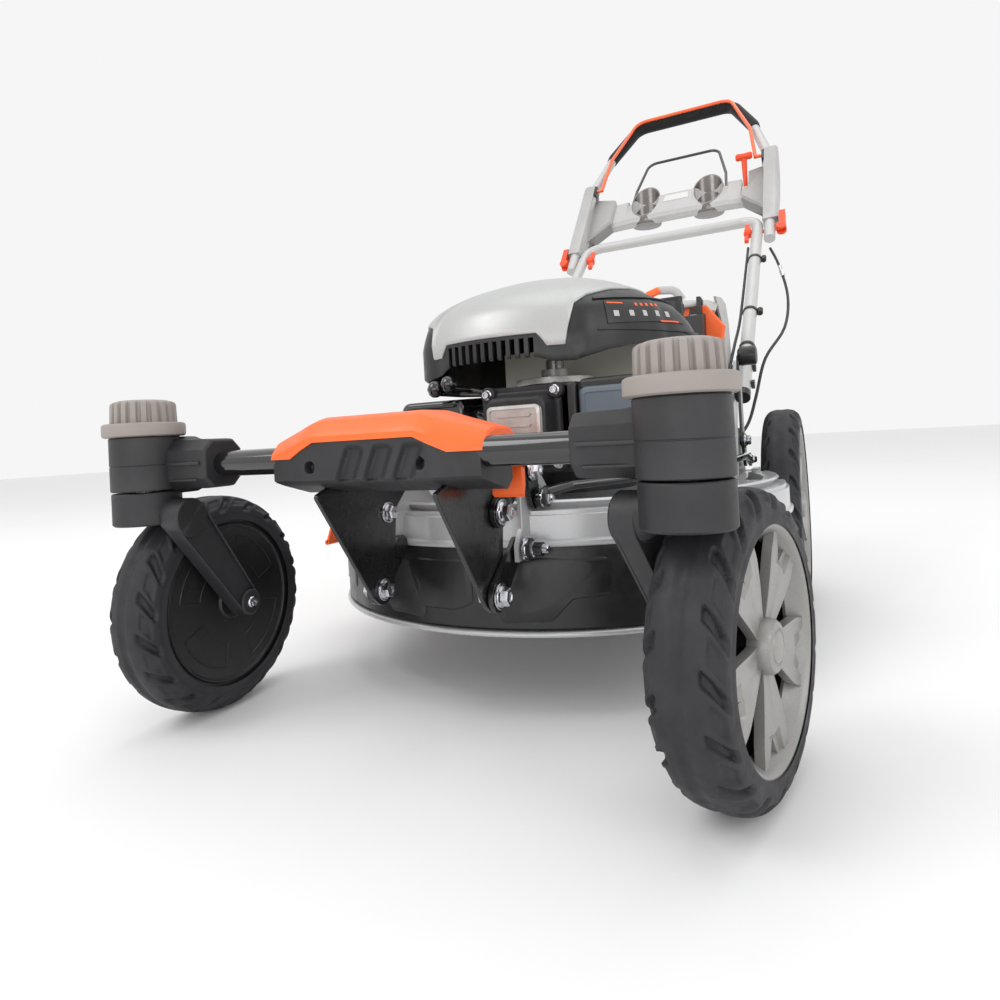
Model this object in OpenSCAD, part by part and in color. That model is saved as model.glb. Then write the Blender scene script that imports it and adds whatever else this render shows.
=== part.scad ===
// Walk-behind rotary lawn mower with two swivelling front casters.
// Millimetres, +Z up, the front faces -Y. The origin is on the ground below the middle of the machine.
// Inside placed(), y = 0 is the swivel axis of the casters.

/* [Layout] */
// Distance from the middle of the machine forward to the caster axes
caster_y = 696; // [690:1:702]
// Half the distance between the caster axes
caster_x = 235; // [233:1:237]
// Swivel angle of the left caster
swivel_left = 4; // [0:1:6]
// Swivel angle of the right caster
swivel_right = -12; // [-14:1:-8]
// Height of the cutting deck's rim above the ground
rim_z = 68; // [64:1:70]

/* [Wheels] */
// Radius of a front tyre
front_r = 101.5; // [100:0.5:102]
// Width of a front tyre
front_w = 50; // [46:1:50]
// Distance that a front wheel trails behind its swivel axis
trail = 70; // [68:1:72]
// Radius of a rear tyre
rear_r = 131; // [129:0.5:132]
// Width of a rear tyre
rear_w = 45; // [42:1:45]
// Half the distance between the rear wheels
rear_x = 247; // [246:1:249]
// Number of petals on a wheel cover
petals = 10; // [8:1:12]

/* [Deck] */
// Radius of the deck's round front
deck_r = 265; // [262:1:266]
// Distance from the caster axes to the crankshaft
crank_y = 400; // [398:1:402]
// Thickness of the deck's steel
deck_t = 3; // [2:0.5:4]
// Length of the blade
blade_l = 420; // [400:5:420]

/* [Height adjustment] */
// Length of a link from pivot to pivot
link_l = 50; // [50:1:50]
// Slope of the links below the horizontal
link_slope = 40.5; // [40:0.5:41]

/* [Drive] */
// Teeth of the ring gear in each rear wheel
ring_teeth = 64; // [64:1:64]
// Teeth of the pinions on the drive shaft
pinion_teeth = 14; // [14:1:14]
// Gear module
gear_m = 2; // [2:1:2]

/* [Handle] */
// Outer radius of the handle tubes
tube_r = 11; // [10:0.5:11]
// Half the distance between the lower tubes
lower_x = 188; // [188:1:189]
// Half the distance between the upper tubes
upper_x = 212; // [212:1:213]
// Radius of the foam grip
grip_r = 14; // [13:0.5:15]

/* [Hidden] */
$fn = 48;

orange = [0.95, 0.38, 0.13];
warm_grey = [0.6, 0.57, 0.54];
light_grey = [0.72, 0.73, 0.72];
silver = [0.7, 0.71, 0.7];
black = [0.12, 0.12, 0.13];
steel = [0.62, 0.63, 0.65];
rubber = [0.16, 0.16, 0.17];

run = 0.05;                              // radial clearance of a running fit
link_y = link_l * cos(link_slope);       // horizontal reach of a link
link_z = link_l * sin(link_slope);       // drop of a link
rear_z = rear_r;                         // height of the rear axles
rear_y = 608;                            // rear axles
shaft_y = rear_y + link_y;               // drive shaft
shaft_z = rear_z + link_z;
low_pin = [131, 148];                    // deck pivot of the lower links (y, z)
up_pin = [142, 215];                     // deck pivot of the upper links
low_car = [low_pin[0] - link_y, low_pin[1] - link_z];
up_car = [up_pin[0] - link_y, up_pin[1] - link_z];
crank_pin = [up_pin[0] + 8, up_pin[1] - 26];
lever_pin = [560, 223];                  // pivot of the height lever
deck_top = 178;
tube_y = 22;                             // centre of the cross tube, behind the caster axes
tube_z = 235;
fold = [1088, 637];                      // pivot of the folding handle (y, z)
handle_tilt = 52;                        // slope of the upper tubes
flap_pin = [625, 424];                   // hinge of the rear flap
side_pin = [-262, 184];                  // hinge of the side flap (x, z)

module placed() translate([0, -caster_y, 0]) children();

module both_sides() {
  children();
  mirror([1, 0, 0]) children();
}

// A cylinder along X from x0 to x1 at height z and distance y
module rod_x(y, z, x0, x1, r) translate([x0, y, z]) rotate([0, 90, 0]) cylinder(r = r, h = x1 - x0);

// A flat strap along X thickness x0..x1 between two points in the YZ plane
module strap(a, b, x0, x1, ra, rb) {
  d = [b[0] - a[0], b[1] - a[1]];
  len = norm(d);
  rod_x(a[0], a[1], x0, x1, ra);
  rod_x(b[0], b[1], x0, x1, rb);
  translate([x0, a[0], a[1]]) rotate([atan2(d[1], d[0]), 0, 0]) rotate([90, 0, 90])
    linear_extrude(x1 - x0) polygon(0.96 * [[0, -ra], [len / 0.96, -rb], [len / 0.96, rb], [0, ra]]);
}

// A plate in the YZ plane, from x0 to x1
module plate(points, x0, x1) translate([x0, 0, 0]) rotate([90, 0, 90])
  linear_extrude(x1 - x0) polygon(points);

module bar(a, b, r) {
  d = b - a;
  translate(a) rotate([0, acos(d[2] / norm(d)), atan2(d[1], d[0])]) cylinder(r = r, h = norm(d));
}

// Corners of a route rounded to arcs of radius rr
function unit(v) = v / norm(v);
function corner(a, b, c, rr) = let (u = unit(a - b), v = unit(c - b), half = acos(u * v) / 2, reach = rr / tan(half),
  mid = b + unit(u + v) * rr / sin(half), e0 = b + u * reach - mid, e1 = b + v * reach - mid, turn = 180 - 2 * half)
  [for (k = [0 : 4]) mid + (e0 * sin(turn * (4 - k) / 4) + e1 * sin(turn * k / 4)) / sin(turn)];
function rounded(p, rr) = [p[0], for (i = [1 : len(p) - 2]) each corner(p[i - 1], p[i], p[i + 1], rr), p[len(p) - 1]];

// Tube swept along a list of points with an n-sided section
function seg(p, i) = unit(p[i + 1] - p[i]);
function tangent(p, i) = i == 0 ? seg(p, 0) : i == len(p) - 1 ? seg(p, i - 1) : unit(seg(p, i - 1) + seg(p, i));
function ring(p, i, r, n, side) = let (a = unit(cross(tangent(p, i), side)), b = unit(cross(tangent(p, i), a)))
  [for (k = [0 : n - 1]) p[i] + r * (a * cos(360 * k / n) + b * sin(360 * k / n))];
// side is a direction that the route never runs along
module swept(p, r, n, side) {
  last = len(p) - 1;
  points = [for (i = [0 : last]) each ring(p, i, r, n, side)];
  sides = [for (i = [0 : last - 1], k = [0 : n - 1])
    [i * n + k, (i + 1) * n + k, (i + 1) * n + (k + 1) % n, i * n + (k + 1) % n]];
  polyhedron(points, concat([[for (k = [0 : n - 1]) k]], sides, [[for (k = [n - 1 : -1 : 0]) last * n + k]]));
}
tilted = [0, 0.7, -0.7];

module hex_x(y, z, x0, x1, r) translate([x0, y, z]) rotate([0, 90, 0]) cylinder(r = r, h = x1 - x0, $fn = 6);

// ---------------------------------------------------------------- deck

module deck_outline(inset) {
  intersection() {
    translate([0, crank_y]) circle(r = deck_r - inset, $fn = 96);
    union() {
      translate([-deck_r, 0]) square([2 * deck_r, 455]);
      translate([-215 + inset, 450]) square([430 - 2 * inset, 182 - inset]);
    }
  }
  translate([-215 + inset, 450]) square([430 - 2 * inset, 182 - inset]);
}

module link_bracket() {
  difference() {
    plate([[120, 138], [150, 138], [205, 176], [205, 182], [158, 228], [130, 228], [130, 165], [120, 153]], 64, 68);
    rod_x(low_pin[0], low_pin[1], 60, 72, 6 + run);
    rod_x(up_pin[0], up_pin[1], 60, 72, 6 + run);
  }
}

foot_bolts = [[706, 305], [738, 333]];

module deck_shell() {
  wall_in = 5 + deck_t;
  color(silver) placed() {
    difference() {
      union() {
        translate([0, 0, rim_z]) linear_extrude(5) deck_outline(0);
        translate([0, 0, rim_z]) linear_extrude(deck_top - rim_z) deck_outline(5);
        translate([0, 0, 150]) linear_extrude(24) deck_outline(2);
      }
      translate([0, 0, rim_z - 1]) linear_extrude(deck_top - deck_t - rim_z + 1) deck_outline(wall_in);
      translate([0, crank_y, rim_z]) cylinder(r = 30, h = 150);
      translate([-120, 560, 150]) cube([240, 60, 60]);
      translate([-300, 290, 92]) cube([100, 150, 54]);
      translate([-45, 600, 122]) cube([90, 60, 27]);
    }
    both_sides() {
      link_bracket();
      difference() {
        plate([[540, 176], [626, 176], [664, 196], [738, 300], [750, 322], [726, 346], [676, 300]], 172, 176.8);
        for (p = foot_bolts) rod_x(p[0], p[1], 170, 180, 4 + run);
      }
      difference() {
        plate([[610, 150], [633, 142], [660, 142], [664, 160], [650, 182], [610, 182]], 202, 210);
        rod_x(shaft_y, shaft_z, 190, 220, 14 + run);
      }
    }
    difference() {
      plate([[530, 176], [600, 176], [584, 240], [540, 240]], 192, 196);
      rod_x(lever_pin[0], lever_pin[1], 180, 200, 6 + run);
    }
    for (y = [284, 430]) difference() {
      translate([side_pin[0] - 5, y, deck_top - 12]) cube([44, 6, side_pin[1] - deck_top + 17]);
      translate([side_pin[0], y - 1, side_pin[1]]) rotate([-90, 0, 0]) cylinder(r = 2.5 + run, h = 8);
    }
  }
}

module skirt_band(r0, r1, half_angle, z0, z1) {
  translate([0, crank_y, z0]) rotate([0, 0, -90 - half_angle])
    rotate_extrude(angle = 2 * half_angle, $fn = 96) translate([r0, 0]) square([r1 - r0, z1 - z0]);
}

module front_skirt() {
  color(black) placed() difference() {
    union() {
      skirt_band(deck_r - 4.9, deck_r - 1.5, 58, rim_z + 6, 147);
      skirt_band(deck_r - 2, deck_r + 2, 9, rim_z + 8, 136);
      for (s = [-1, 1]) rotate([0, 0, 0]) translate([0, crank_y, 0]) rotate([0, 0, s * 36])
        translate([0, -crank_y, 0]) skirt_band(deck_r - 2, deck_r + 1, 18, rim_z + 12, 138);
    }
    both_sides() translate([62, 110, 130]) cube([8, 50, 30]);
  }
}

// Discharge chute from the deck's rear up to the flap
module rear_housing() {
  outer = [[556, 178], [634, 178], [706, 188], [706, 394], [640, 412], [600, 404]];
  inner = [[560, 170], [633, 180.5], [720, 192.7], [720, 386], [640, 408], [603, 400.5]];
  color(black) placed() {
    difference() {
      plate(outer, -150, 150);
      plate(inner, -146, 146);
    }
    both_sides() difference() {
      plate([[612, 400], [640, 410], [640, 432], [616, 434]], 140, 146);
      rod_x(flap_pin[0], flap_pin[1], 130, 150, 4 + run);
    }
  }
}

module gearbox() {
  color(steel) placed() difference() {
    union() {
      rod_x(shaft_y, shaft_z, -26, 26, 13.5);
      translate([-18, 636, 142]) cube([36, 20, 16]);
      translate([0, 646, 126]) cylinder(r = 30, h = 12);
      translate([0, 646, 136]) cylinder(r = 7, h = 10);
      translate([-6, 627.3, 174.4]) cube([12, 6, 3.4]);
      translate([-6, 630.3, 166]) cube([12, 12, 10]);
    }
    rod_x(shaft_y, shaft_z, -30, 30, 8 + run);
  }
}

module belt_loop(r_crank, r_box) {
  translate([0, crank_y]) circle(r = r_crank);
  translate([0, 646]) circle(r = r_box);
  polygon([[-r_crank, crank_y], [r_crank, crank_y], [r_box, 646], [-r_box, 646]]);
}

module drive_belt() {
  color(rubber) placed() translate([0, 0, 128]) linear_extrude(8) difference() {
    belt_loop(27, 35);
    belt_loop(22.5, 30.3);
  }
}

// ---------------------------------------------------------------- engine

module engine_block() {
  color([0.2, 0.2, 0.21]) placed() {
    difference() {
      union() {
        translate([0, crank_y, deck_top]) cylinder(r = 92, h = 9);
        translate([0, crank_y, deck_top + 1]) cylinder(r = 74, h = 113);
        translate([-8, 230, 214]) cube([82, 122, 74]);
        for (i = [0 : 7]) translate([-16, 240 + 11 * i, 206]) cube([98, 4, 90]);
        translate([-14, 226, 208]) cube([94, 9, 86]);
        translate([-26, 236, 246]) rotate([0, 90, 0]) cylinder(r = 8, h = 14);
      }
      translate([0, crank_y, deck_top - 1]) cylinder(r = 11 + run, h = 130);
    }
    both_sides() translate([64, 430, deck_top + 9]) cylinder(r = 6, h = 5, $fn = 6);
  }
}

module valve_cover() {
  color([0.78, 0.76, 0.74]) placed() {
    translate([-2, 200, 216]) cube([70, 26, 66]);
    translate([-8, 221, 210]) cube([82, 5, 79]);
    for (i = [0 : 3]) translate([8 + 14 * i, 198, 226]) cube([6, 3, 46]);
    for (x = [-4, 70], z = [214, 285]) translate([x, 221, z]) rotate([90, 0, 0])
      cylinder(r = 5, h = 4, $fn = 6);
  }
}

module muffler() {
  color(black) placed() {
    translate([-128, 236, 226]) cube([88, 66, 66]);
    for (i = [0 : 5]) translate([-130, 240 + 10 * i, 230]) cube([3, 5, 56]);
    translate([-41, 268, 262]) rotate([0, 90, 0]) cylinder(r = 9, h = 24.9);
  }
}

module air_cleaner() {
  color(black) placed() {
    translate([88, 226, 236]) cube([70, 96, 63.5]);
    color([0.5, 0.56, 0.62]) translate([90, 220, 246]) cube([66, 7, 46]);
    translate([82.1, 262, 252]) rotate([0, 90, 0]) cylinder(r = 10, h = 9);
    color([0.1, 0.38, 0.22]) translate([92, 232, 211]) cube([48, 60, 26]);
  }
}

module tank_body(grow) {
  translate([-100 - grow, 462 - grow, 306]) cube([236 + 2 * grow, 76 + 2 * grow, 54]);
}

module fuel_tank() {
  color([0.85, 0.84, 0.78]) placed() difference() {
    union() {
      tank_body(0);
      translate([132, 452, 346]) cylinder(r = 17, h = 36);
      translate([110, 448, 340]) cube([26, 20, 16]);
    }
    translate([-97, 465, 309]) cube([230, 70, 48]);
    translate([132, 452, 350]) cylinder(r = 14, h = 40);
  }
}

module cowl_shape(inset, z0) {
  hull() {
    for (x = [-118, 122], y = [306, 508]) translate([x * 0.88 + 18, y, z0])
      cylinder(r = 58 - inset, h = 1, $fn = 32);
    for (x = [-118, 122], y = [306, 508]) translate([x * 0.9 + 18, y, 352])
      cylinder(r = 58 - inset, h = 4, $fn = 32);
    for (x = [-34, 60], y = [352, 470]) translate([x, y, 428 - inset])
      cylinder(r = 44 - inset, h = 4, $fn = 32);
  }
}

module engine_shroud() {
  color(black) placed() difference() {
    intersection() {
      cowl_shape(0, 300);
      translate([-300, 0, 300]) cube([600, 800, 68]);
    }
    cowl_shape(3, 296);
    translate([132, 452, 340]) cylinder(r = 21, h = 80);
    for (i = [0 : 10]) translate([-62 + 11 * i, 230, 336]) cube([7, 40, 20]);
  }
}

module engine_top_cover() {
  color(silver) placed() difference() {
    intersection() {
      cowl_shape(0, 300);
      translate([-300, 0, 368.4]) cube([600, 800, 100]);
    }
    cowl_shape(3, 296);
    translate([132, 452, 340]) cylinder(r = 21, h = 80);
    translate([-72, 454, 340]) cylinder(r = 12, h = 100);
  }
}

module crankshaft() {
  color(steel) placed() {
    translate([0, crank_y, 92]) cylinder(r = 11, h = 246);
    translate([0, crank_y, 126]) cylinder(r = 22, h = 12);
    translate([0, crank_y, 80]) cylinder(r = 9, h = 12, $fn = 6);
  }
}

module flywheel() {
  color(steel) placed() difference() {
    union() {
      translate([0, crank_y, 306]) cylinder(r = 50, h = 8);
      translate([0, crank_y, 302]) cylinder(r = 18, h = 24);
    }
    translate([0, crank_y, 300]) cylinder(r = 11, h = 30);
  }
}

module blade() {
  color(steel) placed() difference() {
    union() {
      translate([-blade_l / 2, crank_y - 28, 92]) cube([blade_l, 56, 4]);
      for (a = [0, 180]) translate([0, crank_y, 0]) rotate([0, 0, a])
        translate([blade_l / 2 - 70, 10, 95]) cube([66, 14, 9]);
    }
    translate([0, crank_y, 80]) cylinder(r = 11, h = 30);
    difference() {
      translate([0, crank_y, 85]) cylinder(r = 300, h = 30);
      translate([0, crank_y, 84]) cylinder(r = blade_l / 2, h = 32);
    }
  }
}

module fuel_cap() {
  color(black) placed() {
    translate([132, 452, 382.3]) cylinder(r = 21, h = 16);
    translate([113, 446, 398]) cube([38, 12, 8]);
    translate([132, 452, 372]) cylinder(r = 13.6, h = 12);
  }
}

module starter_grip() {
  color(black) placed() {
    translate([-72, 454, 436]) cylinder(r = 4, h = 8);
    translate([-94, 449, 440]) cube([44, 10, 12]);
    translate([-72, 454, 306]) cylinder(r = 2, h = 132);
  }
}

// ---------------------------------------------------------------- height adjustment and front carriage

module lower_links() {
  color(black) placed() both_sides() {
    difference() {
      strap(low_car, low_pin, 58, 62, 13, 10);
      rod_x(low_car[0], low_car[1], 50, 70, 5 + run);
    }
    rod_x(low_pin[0], low_pin[1], 60, 86, 6);
    hex_x(low_pin[0], low_pin[1], 69, 77, 9);
  }
}

module upper_links() {
  color(black) placed() {
    both_sides() {
      difference() {
        strap(up_car, up_pin, 58, 62, 13, 12);
        rod_x(up_car[0], up_car[1], 50, 70, 5 + run);
      }
      rod_x(up_pin[0], up_pin[1], 60, 75, 6);
    }
    mirror([1, 0, 0]) hex_x(up_pin[0], up_pin[1], 69, 76, 11);
    strap(up_pin, crank_pin, 70, 74, 12, 9);
    rod_x(crank_pin[0], crank_pin[1], 72, 88, 4);
    hex_x(crank_pin[0], crank_pin[1], 80.5, 86, 8);
  }
}

rod_drop = [lever_pin[0] + 8, lever_pin[1] - 26];

module height_rod() {
  color(black) placed() {
    difference() {
      strap(crank_pin, crank_pin + [16, 5], 76, 80, 9, 5);
      rod_x(crank_pin[0], crank_pin[1], 70, 90, 4 + run);
    }
    swept(rounded([[78, crank_pin[0] + 14, crank_pin[1] + 4], [92, 188, 197], [206.8, 300, 204],
      [206.8, 520, 204], [206.8, rod_drop[0] - 14, rod_drop[1] + 2]], 20), 4.5, 12, [0, 0, 1]);
    difference() {
      strap(rod_drop, rod_drop + [-16, 2.5], 204.3, 208, 9, 5);
      rod_x(rod_drop[0], rod_drop[1], 200, 212, 4 + run);
    }
  }
}

module height_lever() {
  color(black) placed() {
    rod_x(lever_pin[0], lever_pin[1], 190, 203, 6);
    strap(lever_pin, rod_drop, 198, 202, 12, 9);
    rod_x(rod_drop[0], rod_drop[1], 200, 215, 4);
    hex_x(rod_drop[0], rod_drop[1], 208.5, 213, 8);
    strap(lever_pin, [lever_pin[0] + 6, 330], 197, 201, 11, 8);
    rod_x(lever_pin[0] + 6, 336, 199, 223, 13);
  }
}

module cross_tube() {
  color(black) placed() difference() {
    rod_x(tube_y, tube_z, -200, 200, tube_r);
    rod_x(tube_y, tube_z, -201, 201, tube_r - 2);
  }
}

module carriage_plates() {
  color(black) placed() both_sides() difference() {
    union() {
      plate([[12, 206], [44, 218], [118, 206], [118, 182], [106.5, 112], [93, 101.5], [81, 110]], 53, 57);
      rod_x(low_car[0], low_car[1], 53, 57, 13.5);
    }
    rod_x(low_car[0], low_car[1], 50, 60, 5);
    rod_x(up_car[0], up_car[1], 50, 60, 5);
  }
}

module link_bolts() {
  color([0.8, 0.81, 0.83]) placed() both_sides() for (p = [low_car, up_car]) {
    rod_x(p[0], p[1], 48, 70, 5);
    rod_x(p[0], p[1], 62.5, 64, 11);
    hex_x(p[0], p[1], 64, 71, 9);
    hex_x(p[0], p[1], 45, 53, 9);
  }
}

module bumper_profile(x0, x1, points) difference() {
  plate(points, x0, x1);
  rod_x(tube_y, tube_z, -120, 120, tube_r);
}

module bumper_base() {
  front = [[6, 234.8], [6, 221], [18, 213], [52, 206], [62, 212], [62, 234.8]];
  color(black) placed() difference() {
    bumper_profile(-96, 96, front);
    both_sides() {
      translate([52.9, -60, 200]) cube([4.2, 200, 22]);
      for (x = [14, 34]) translate([x, 2, 212]) cube([8, 7, 16]);
    }
    for (x = [-50, 50]) translate([x, 10.5, 228]) rotate([90, 0, 0]) cylinder(r = 5, h = 10);
  }
}

module bumper_shell() {
  top = [[4, 235], [4, 250], [10, 262], [22, 268], [56, 268], [72, 258], [80, 240], [80, 200], [76, 196],
    [72, 200], [72, 235]];
  color(orange) placed() difference() {
    bumper_profile(-98, 98, top);
    translate([-70, 60, 190]) cube([140, 30, 45]);
  }
}

module socket_outline() {
  polygon([[-12, 21], [12, 21], [21, 12], [21, -12], [12, -21], [-12, -21], [-21, -12], [-21, 12]]);
}

module swivel_housings() {
  color(black) placed() both_sides() difference() {
    union() {
      translate([caster_x, 0, 215]) cylinder(r = 28.5, h = 46.8);
      translate([163, tube_y, tube_z + 1]) rotate([90, 0, 90]) linear_extrude(60) socket_outline();
    }
    translate([caster_x, 0, 210]) cylinder(r = 9 + run, h = 60);
    translate([caster_x, 0, 248]) cylinder(r = 14, h = 20);
    rod_x(tube_y, tube_z, 150, 200, tube_r);
  }
}

module lock_knob(side) {
  color(warm_grey) placed() translate([side * caster_x, 0, 0]) {
    translate([0, 0, 262]) cylinder(r = 33.5, h = 12);
    translate([0, 0, 273]) cylinder(r = 26.5, h = 21);
    for (i = [0 : 19]) rotate([0, 0, 18 * i]) translate([25.5, -2, 274]) cube([3, 4, 19]);
    translate([0, 0, 256.6]) cylinder(r = 13.9, h = 6);
  }
}
module lock_knob_left() lock_knob(-1);
module lock_knob_right() lock_knob(1);

module at_caster(side, angle) placed() translate([side * caster_x, 0, 0]) rotate([0, 0, angle])
  mirror([side < 0 ? 1 : 0, 0, 0]) children();

// The fork in the frame of its swivel axis; +X is outward
module caster_fork(side, angle) {
  inner = -front_w / 2;
  color(black) at_caster(side, angle) {
    difference() {
      union() {
        translate([0, 0, 186]) cylinder(r = 28, h = 28);
        rod_x(5, 190, inner - 21, -12, 17);
      }
      rod_x(trail, front_r, inner - 2, 40, front_r + 2.5);
    }
    strap([5, 190], [trail, front_r], inner - 21, inner - 4, 17, 12);
    translate([0, 0, 200]) cylinder(r = 9, h = 48.5);
    translate([0, 0, 248.3]) cylinder(r = 13, h = 5);
    rod_x(trail, front_r, inner - 5, 18, 6);
    hex_x(trail, front_r, inner - 28, inner - 21, 8);
  }
}
module caster_fork_left() caster_fork(-1, swivel_left);
module caster_fork_right() caster_fork(1, swivel_right);

module on_front_axle() translate([-front_w / 2, trail, front_r]) rotate([0, 90, 0]) children();

// Revolved tyre of outer radius r, seat radius r0 and width w, standing on z = 0
module tyre(r, r0, w) {
  rotate_extrude($fn = 96) polygon([[r0, 3], [r0, w - 3], [r0 + 5, w - 1], [r - 16, w], [r - 5, w - 4],
    [r, w - 13], [r, w / 2 + 3], [r - 3, w / 2 + 2], [r - 3, w / 2 - 2], [r, w / 2 - 3], [r, 13], [r - 5, 4],
    [r - 16, 0], [r0 + 5, 1]]);
}

module front_tyre(side, angle) color(rubber) at_caster(side, angle) on_front_axle()
  tyre(front_r, front_r - 18, front_w);
module front_tyre_left() front_tyre(-1, swivel_left);
module front_tyre_right() front_tyre(1, swivel_right);

module front_rim(side, angle) {
  seat = front_r - 18;
  color(black) at_caster(side, angle) on_front_axle() rotate_extrude($fn = 96)
    polygon([[6 + run, 1], [14, 1], [14, 4], [seat - 4, 4], [seat - 4, 3], [seat, 3], [seat, front_w - 3],
      [seat - 4, front_w - 3], [seat - 4, 8], [14, 8], [14, 43], [6 + run, 43]]);
}
module front_rim_left() front_rim(-1, swivel_left);
module front_rim_right() front_rim(1, swivel_right);

// Petal cover of radius r with its face at z = h
module petal_cover(r, h, hub_r) {
  difference() {
    translate([0, 0, h - 5]) cylinder(r = r, h = 5, $fn = 96);
    for (i = [0 : petals - 1]) rotate([0, 0, 360 / petals * i]) translate([0, 0, h - 6])
      linear_extrude(8) polygon([[r * 0.3, -2], [r * 0.86, -r * 0.2], [r * 0.9, 0], [r * 0.86, r * 0.12]]);
  }
  translate([0, 0, h - 5]) cylinder(r = hub_r, h = 6);
}

module front_cover(side, angle) color(silver) at_caster(side, angle) on_front_axle()
  petal_cover(front_r - 22, front_w - 1, 18);
module front_cover_left() front_cover(-1, swivel_left);
module front_cover_right() front_cover(1, swivel_right);

// ---------------------------------------------------------------- rear axle

// One tooth of an involute gear about the origin, with its half width at the pitch circle
function inv(a) = tan(a) * 180 / PI - a;
function flank(z, m, r, half_deg) = let (rp = m * z / 2, rb = rp * cos(25), a = r > rb ? acos(rb / r) : 0)
  half_deg + inv(25) - inv(a);
module tooth(z, m, r0, r1, half_deg) {
  steps = 6;
  rs = [for (i = [0 : steps]) r0 + (r1 - r0) * i / steps];
  polygon(concat(
    [for (r = rs) let (a = flank(z, m, r, half_deg)) [r * cos(a), -r * sin(a)]],
    [for (i = [steps : -1 : 0]) let (r = rs[i], a = flank(z, m, r, half_deg)) [r * cos(a), r * sin(a)]]));
}

module pinion_outline() {
  rp = gear_m * pinion_teeth / 2;
  circle(r = rp - 2.3);
  for (i = [0 : pinion_teeth - 1]) rotate(360 / pinion_teeth * i)
    translate([-0.2, 0]) tooth(pinion_teeth, gear_m, rp - 2.4, rp + 1.8, 90 / pinion_teeth * 0.88);
}

module ring_spaces() {
  rp = gear_m * ring_teeth / 2;
  circle(r = rp - 1.2);
  for (i = [0 : ring_teeth - 1]) rotate(360 / ring_teeth * i)
    tooth(ring_teeth, gear_m, rp - 1.4, rp + 2.4, 90 / ring_teeth * 1.04);
}

arm_bar = [704, 147];

module rear_arms() {
  color(black) placed() {
    both_sides() {
      difference() {
        strap([shaft_y, shaft_z], [rear_y, rear_z], 217, 222, 20, 16);
        rod_x(shaft_y, shaft_z, 200, 240, 8 + run);
      }
      difference() {
        rod_x(shaft_y, shaft_z, 40, 218, 14);
        rod_x(shaft_y, shaft_z, 30, 240, 8 + run);
      }
      rod_x(rear_y, rear_z, 218, 258, 8);
      difference() {
        strap([shaft_y, shaft_z], arm_bar, 190, 198, 15, 8);
        rod_x(shaft_y, shaft_z, 180, 240, 13);
      }
    }
    rod_x(arm_bar[0], arm_bar[1], -194, 194, 6);
  }
}

module on_rear_axle() placed() translate([rear_x - rear_w / 2, rear_y, rear_z]) rotate([0, 90, 0]) children();

module rear_tyre() color(rubber) on_rear_axle() tyre(rear_r, rear_r - 20, rear_w);
module rear_tyre_right() rear_tyre();
module rear_tyre_left() mirror([1, 0, 0]) rear_tyre();

module rear_rim() {
  seat = rear_r - 20;
  ring_in = gear_m * ring_teeth / 2 + 3;
  color(black) on_rear_axle() {
    rotate_extrude($fn = 96) polygon([[8 + run, 16], [16, 16], [16, 20], [seat - 4, 20], [seat - 4, 3],
      [seat, 3], [seat, rear_w - 3], [seat - 4, rear_w - 3], [seat - 4, 24], [16, 24], [16, 36], [8 + run, 36]]);
    difference() {
      translate([0, 0, 3]) cylinder(r = ring_in + 6, h = 17.5);
      translate([0, 0, 12]) cylinder(r = ring_in, h = 8);
      translate([0, 0, 2]) linear_extrude(20) rotate(90 + link_slope) ring_spaces();
    }
  }
}
module rear_rim_right() rear_rim();
module rear_rim_left() mirror([1, 0, 0]) rear_rim();

module rear_cover() color(silver) on_rear_axle() petal_cover(rear_r - 24.2, rear_w - 1, 20);
module rear_cover_right() rear_cover();
module rear_cover_left() mirror([1, 0, 0]) rear_cover();

module drive_shaft() {
  color(steel) placed() {
    rod_x(shaft_y, shaft_z, -243, 243, 8);
    both_sides() translate([228.5, shaft_y, shaft_z]) rotate([0, 90, 0]) linear_extrude(7)
      rotate(90 + link_slope) pinion_outline();
  }
}

// ---------------------------------------------------------------- handle

// A point on the upper handle: x across, u up the tubes from the fold, n behind the tube plane
function on_handle(x, u, n) = [x, fold[0] + u * cos(handle_tilt) + n * sin(handle_tilt),
  fold[1] + u * sin(handle_tilt) - n * cos(handle_tilt)];
function yz(p) = [p[1], p[2]];
function mirrored(points) = [for (i = [len(points) - 1 : -1 : 0]) [-points[i][0], points[i][1], points[i][2]]];

lower_ends = [[lower_x, 692, 293], [lower_x, 1129, 672.6]];
lower_path = rounded(concat(lower_ends, mirrored(lower_ends)), 34);
upper_ends = [on_handle(upper_x, -28, 0), on_handle(upper_x, 170, 0), on_handle(203, 290, 0),
  on_handle(172, 410, 0), on_handle(120, 526, 0)];
upper_path = rounded(concat(upper_ends, mirrored(upper_ends)), 40);
bail_pin = on_handle(0, 262, -8);

module lower_handle() {
  color(light_grey) placed() difference() {
    swept(lower_path, tube_r, 20, tilted);
    both_sides() rod_x(fold[0], fold[1], 170, 210, 4 + run);
    both_sides() for (p = foot_bolts) rod_x(p[0], p[1], 170, 210, 4);
  }
}

module handle_fittings() {
  color(black) placed() {
    both_sides() bar([lower_x, 682, 284.3], [lower_x, 691.9, 292.9], tube_r + 0.15);
    both_sides() for (p = foot_bolts) {
      rod_x(p[0], p[1], 166, 203, 4);
      hex_x(p[0], p[1], 199.2, 204, 7);
      hex_x(p[0], p[1], 166, 171.9, 7);
    }
    for (y = [860, 1000]) translate([lower_x, y, 0]) translate([16.1, 0, 300 + (y - 700) * 0.8686])
      rotate([-49, 0, 0]) cylinder(r = 5, h = 12, center = true);
    translate([-lower_x, 960, 526]) rotate([41, 0, 0]) translate([22.1, 0, 0]) difference() {
      cylinder(r = 11, h = 4, center = true);
      cylinder(r = 7, h = 6, center = true);
    }
  }
}

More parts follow.
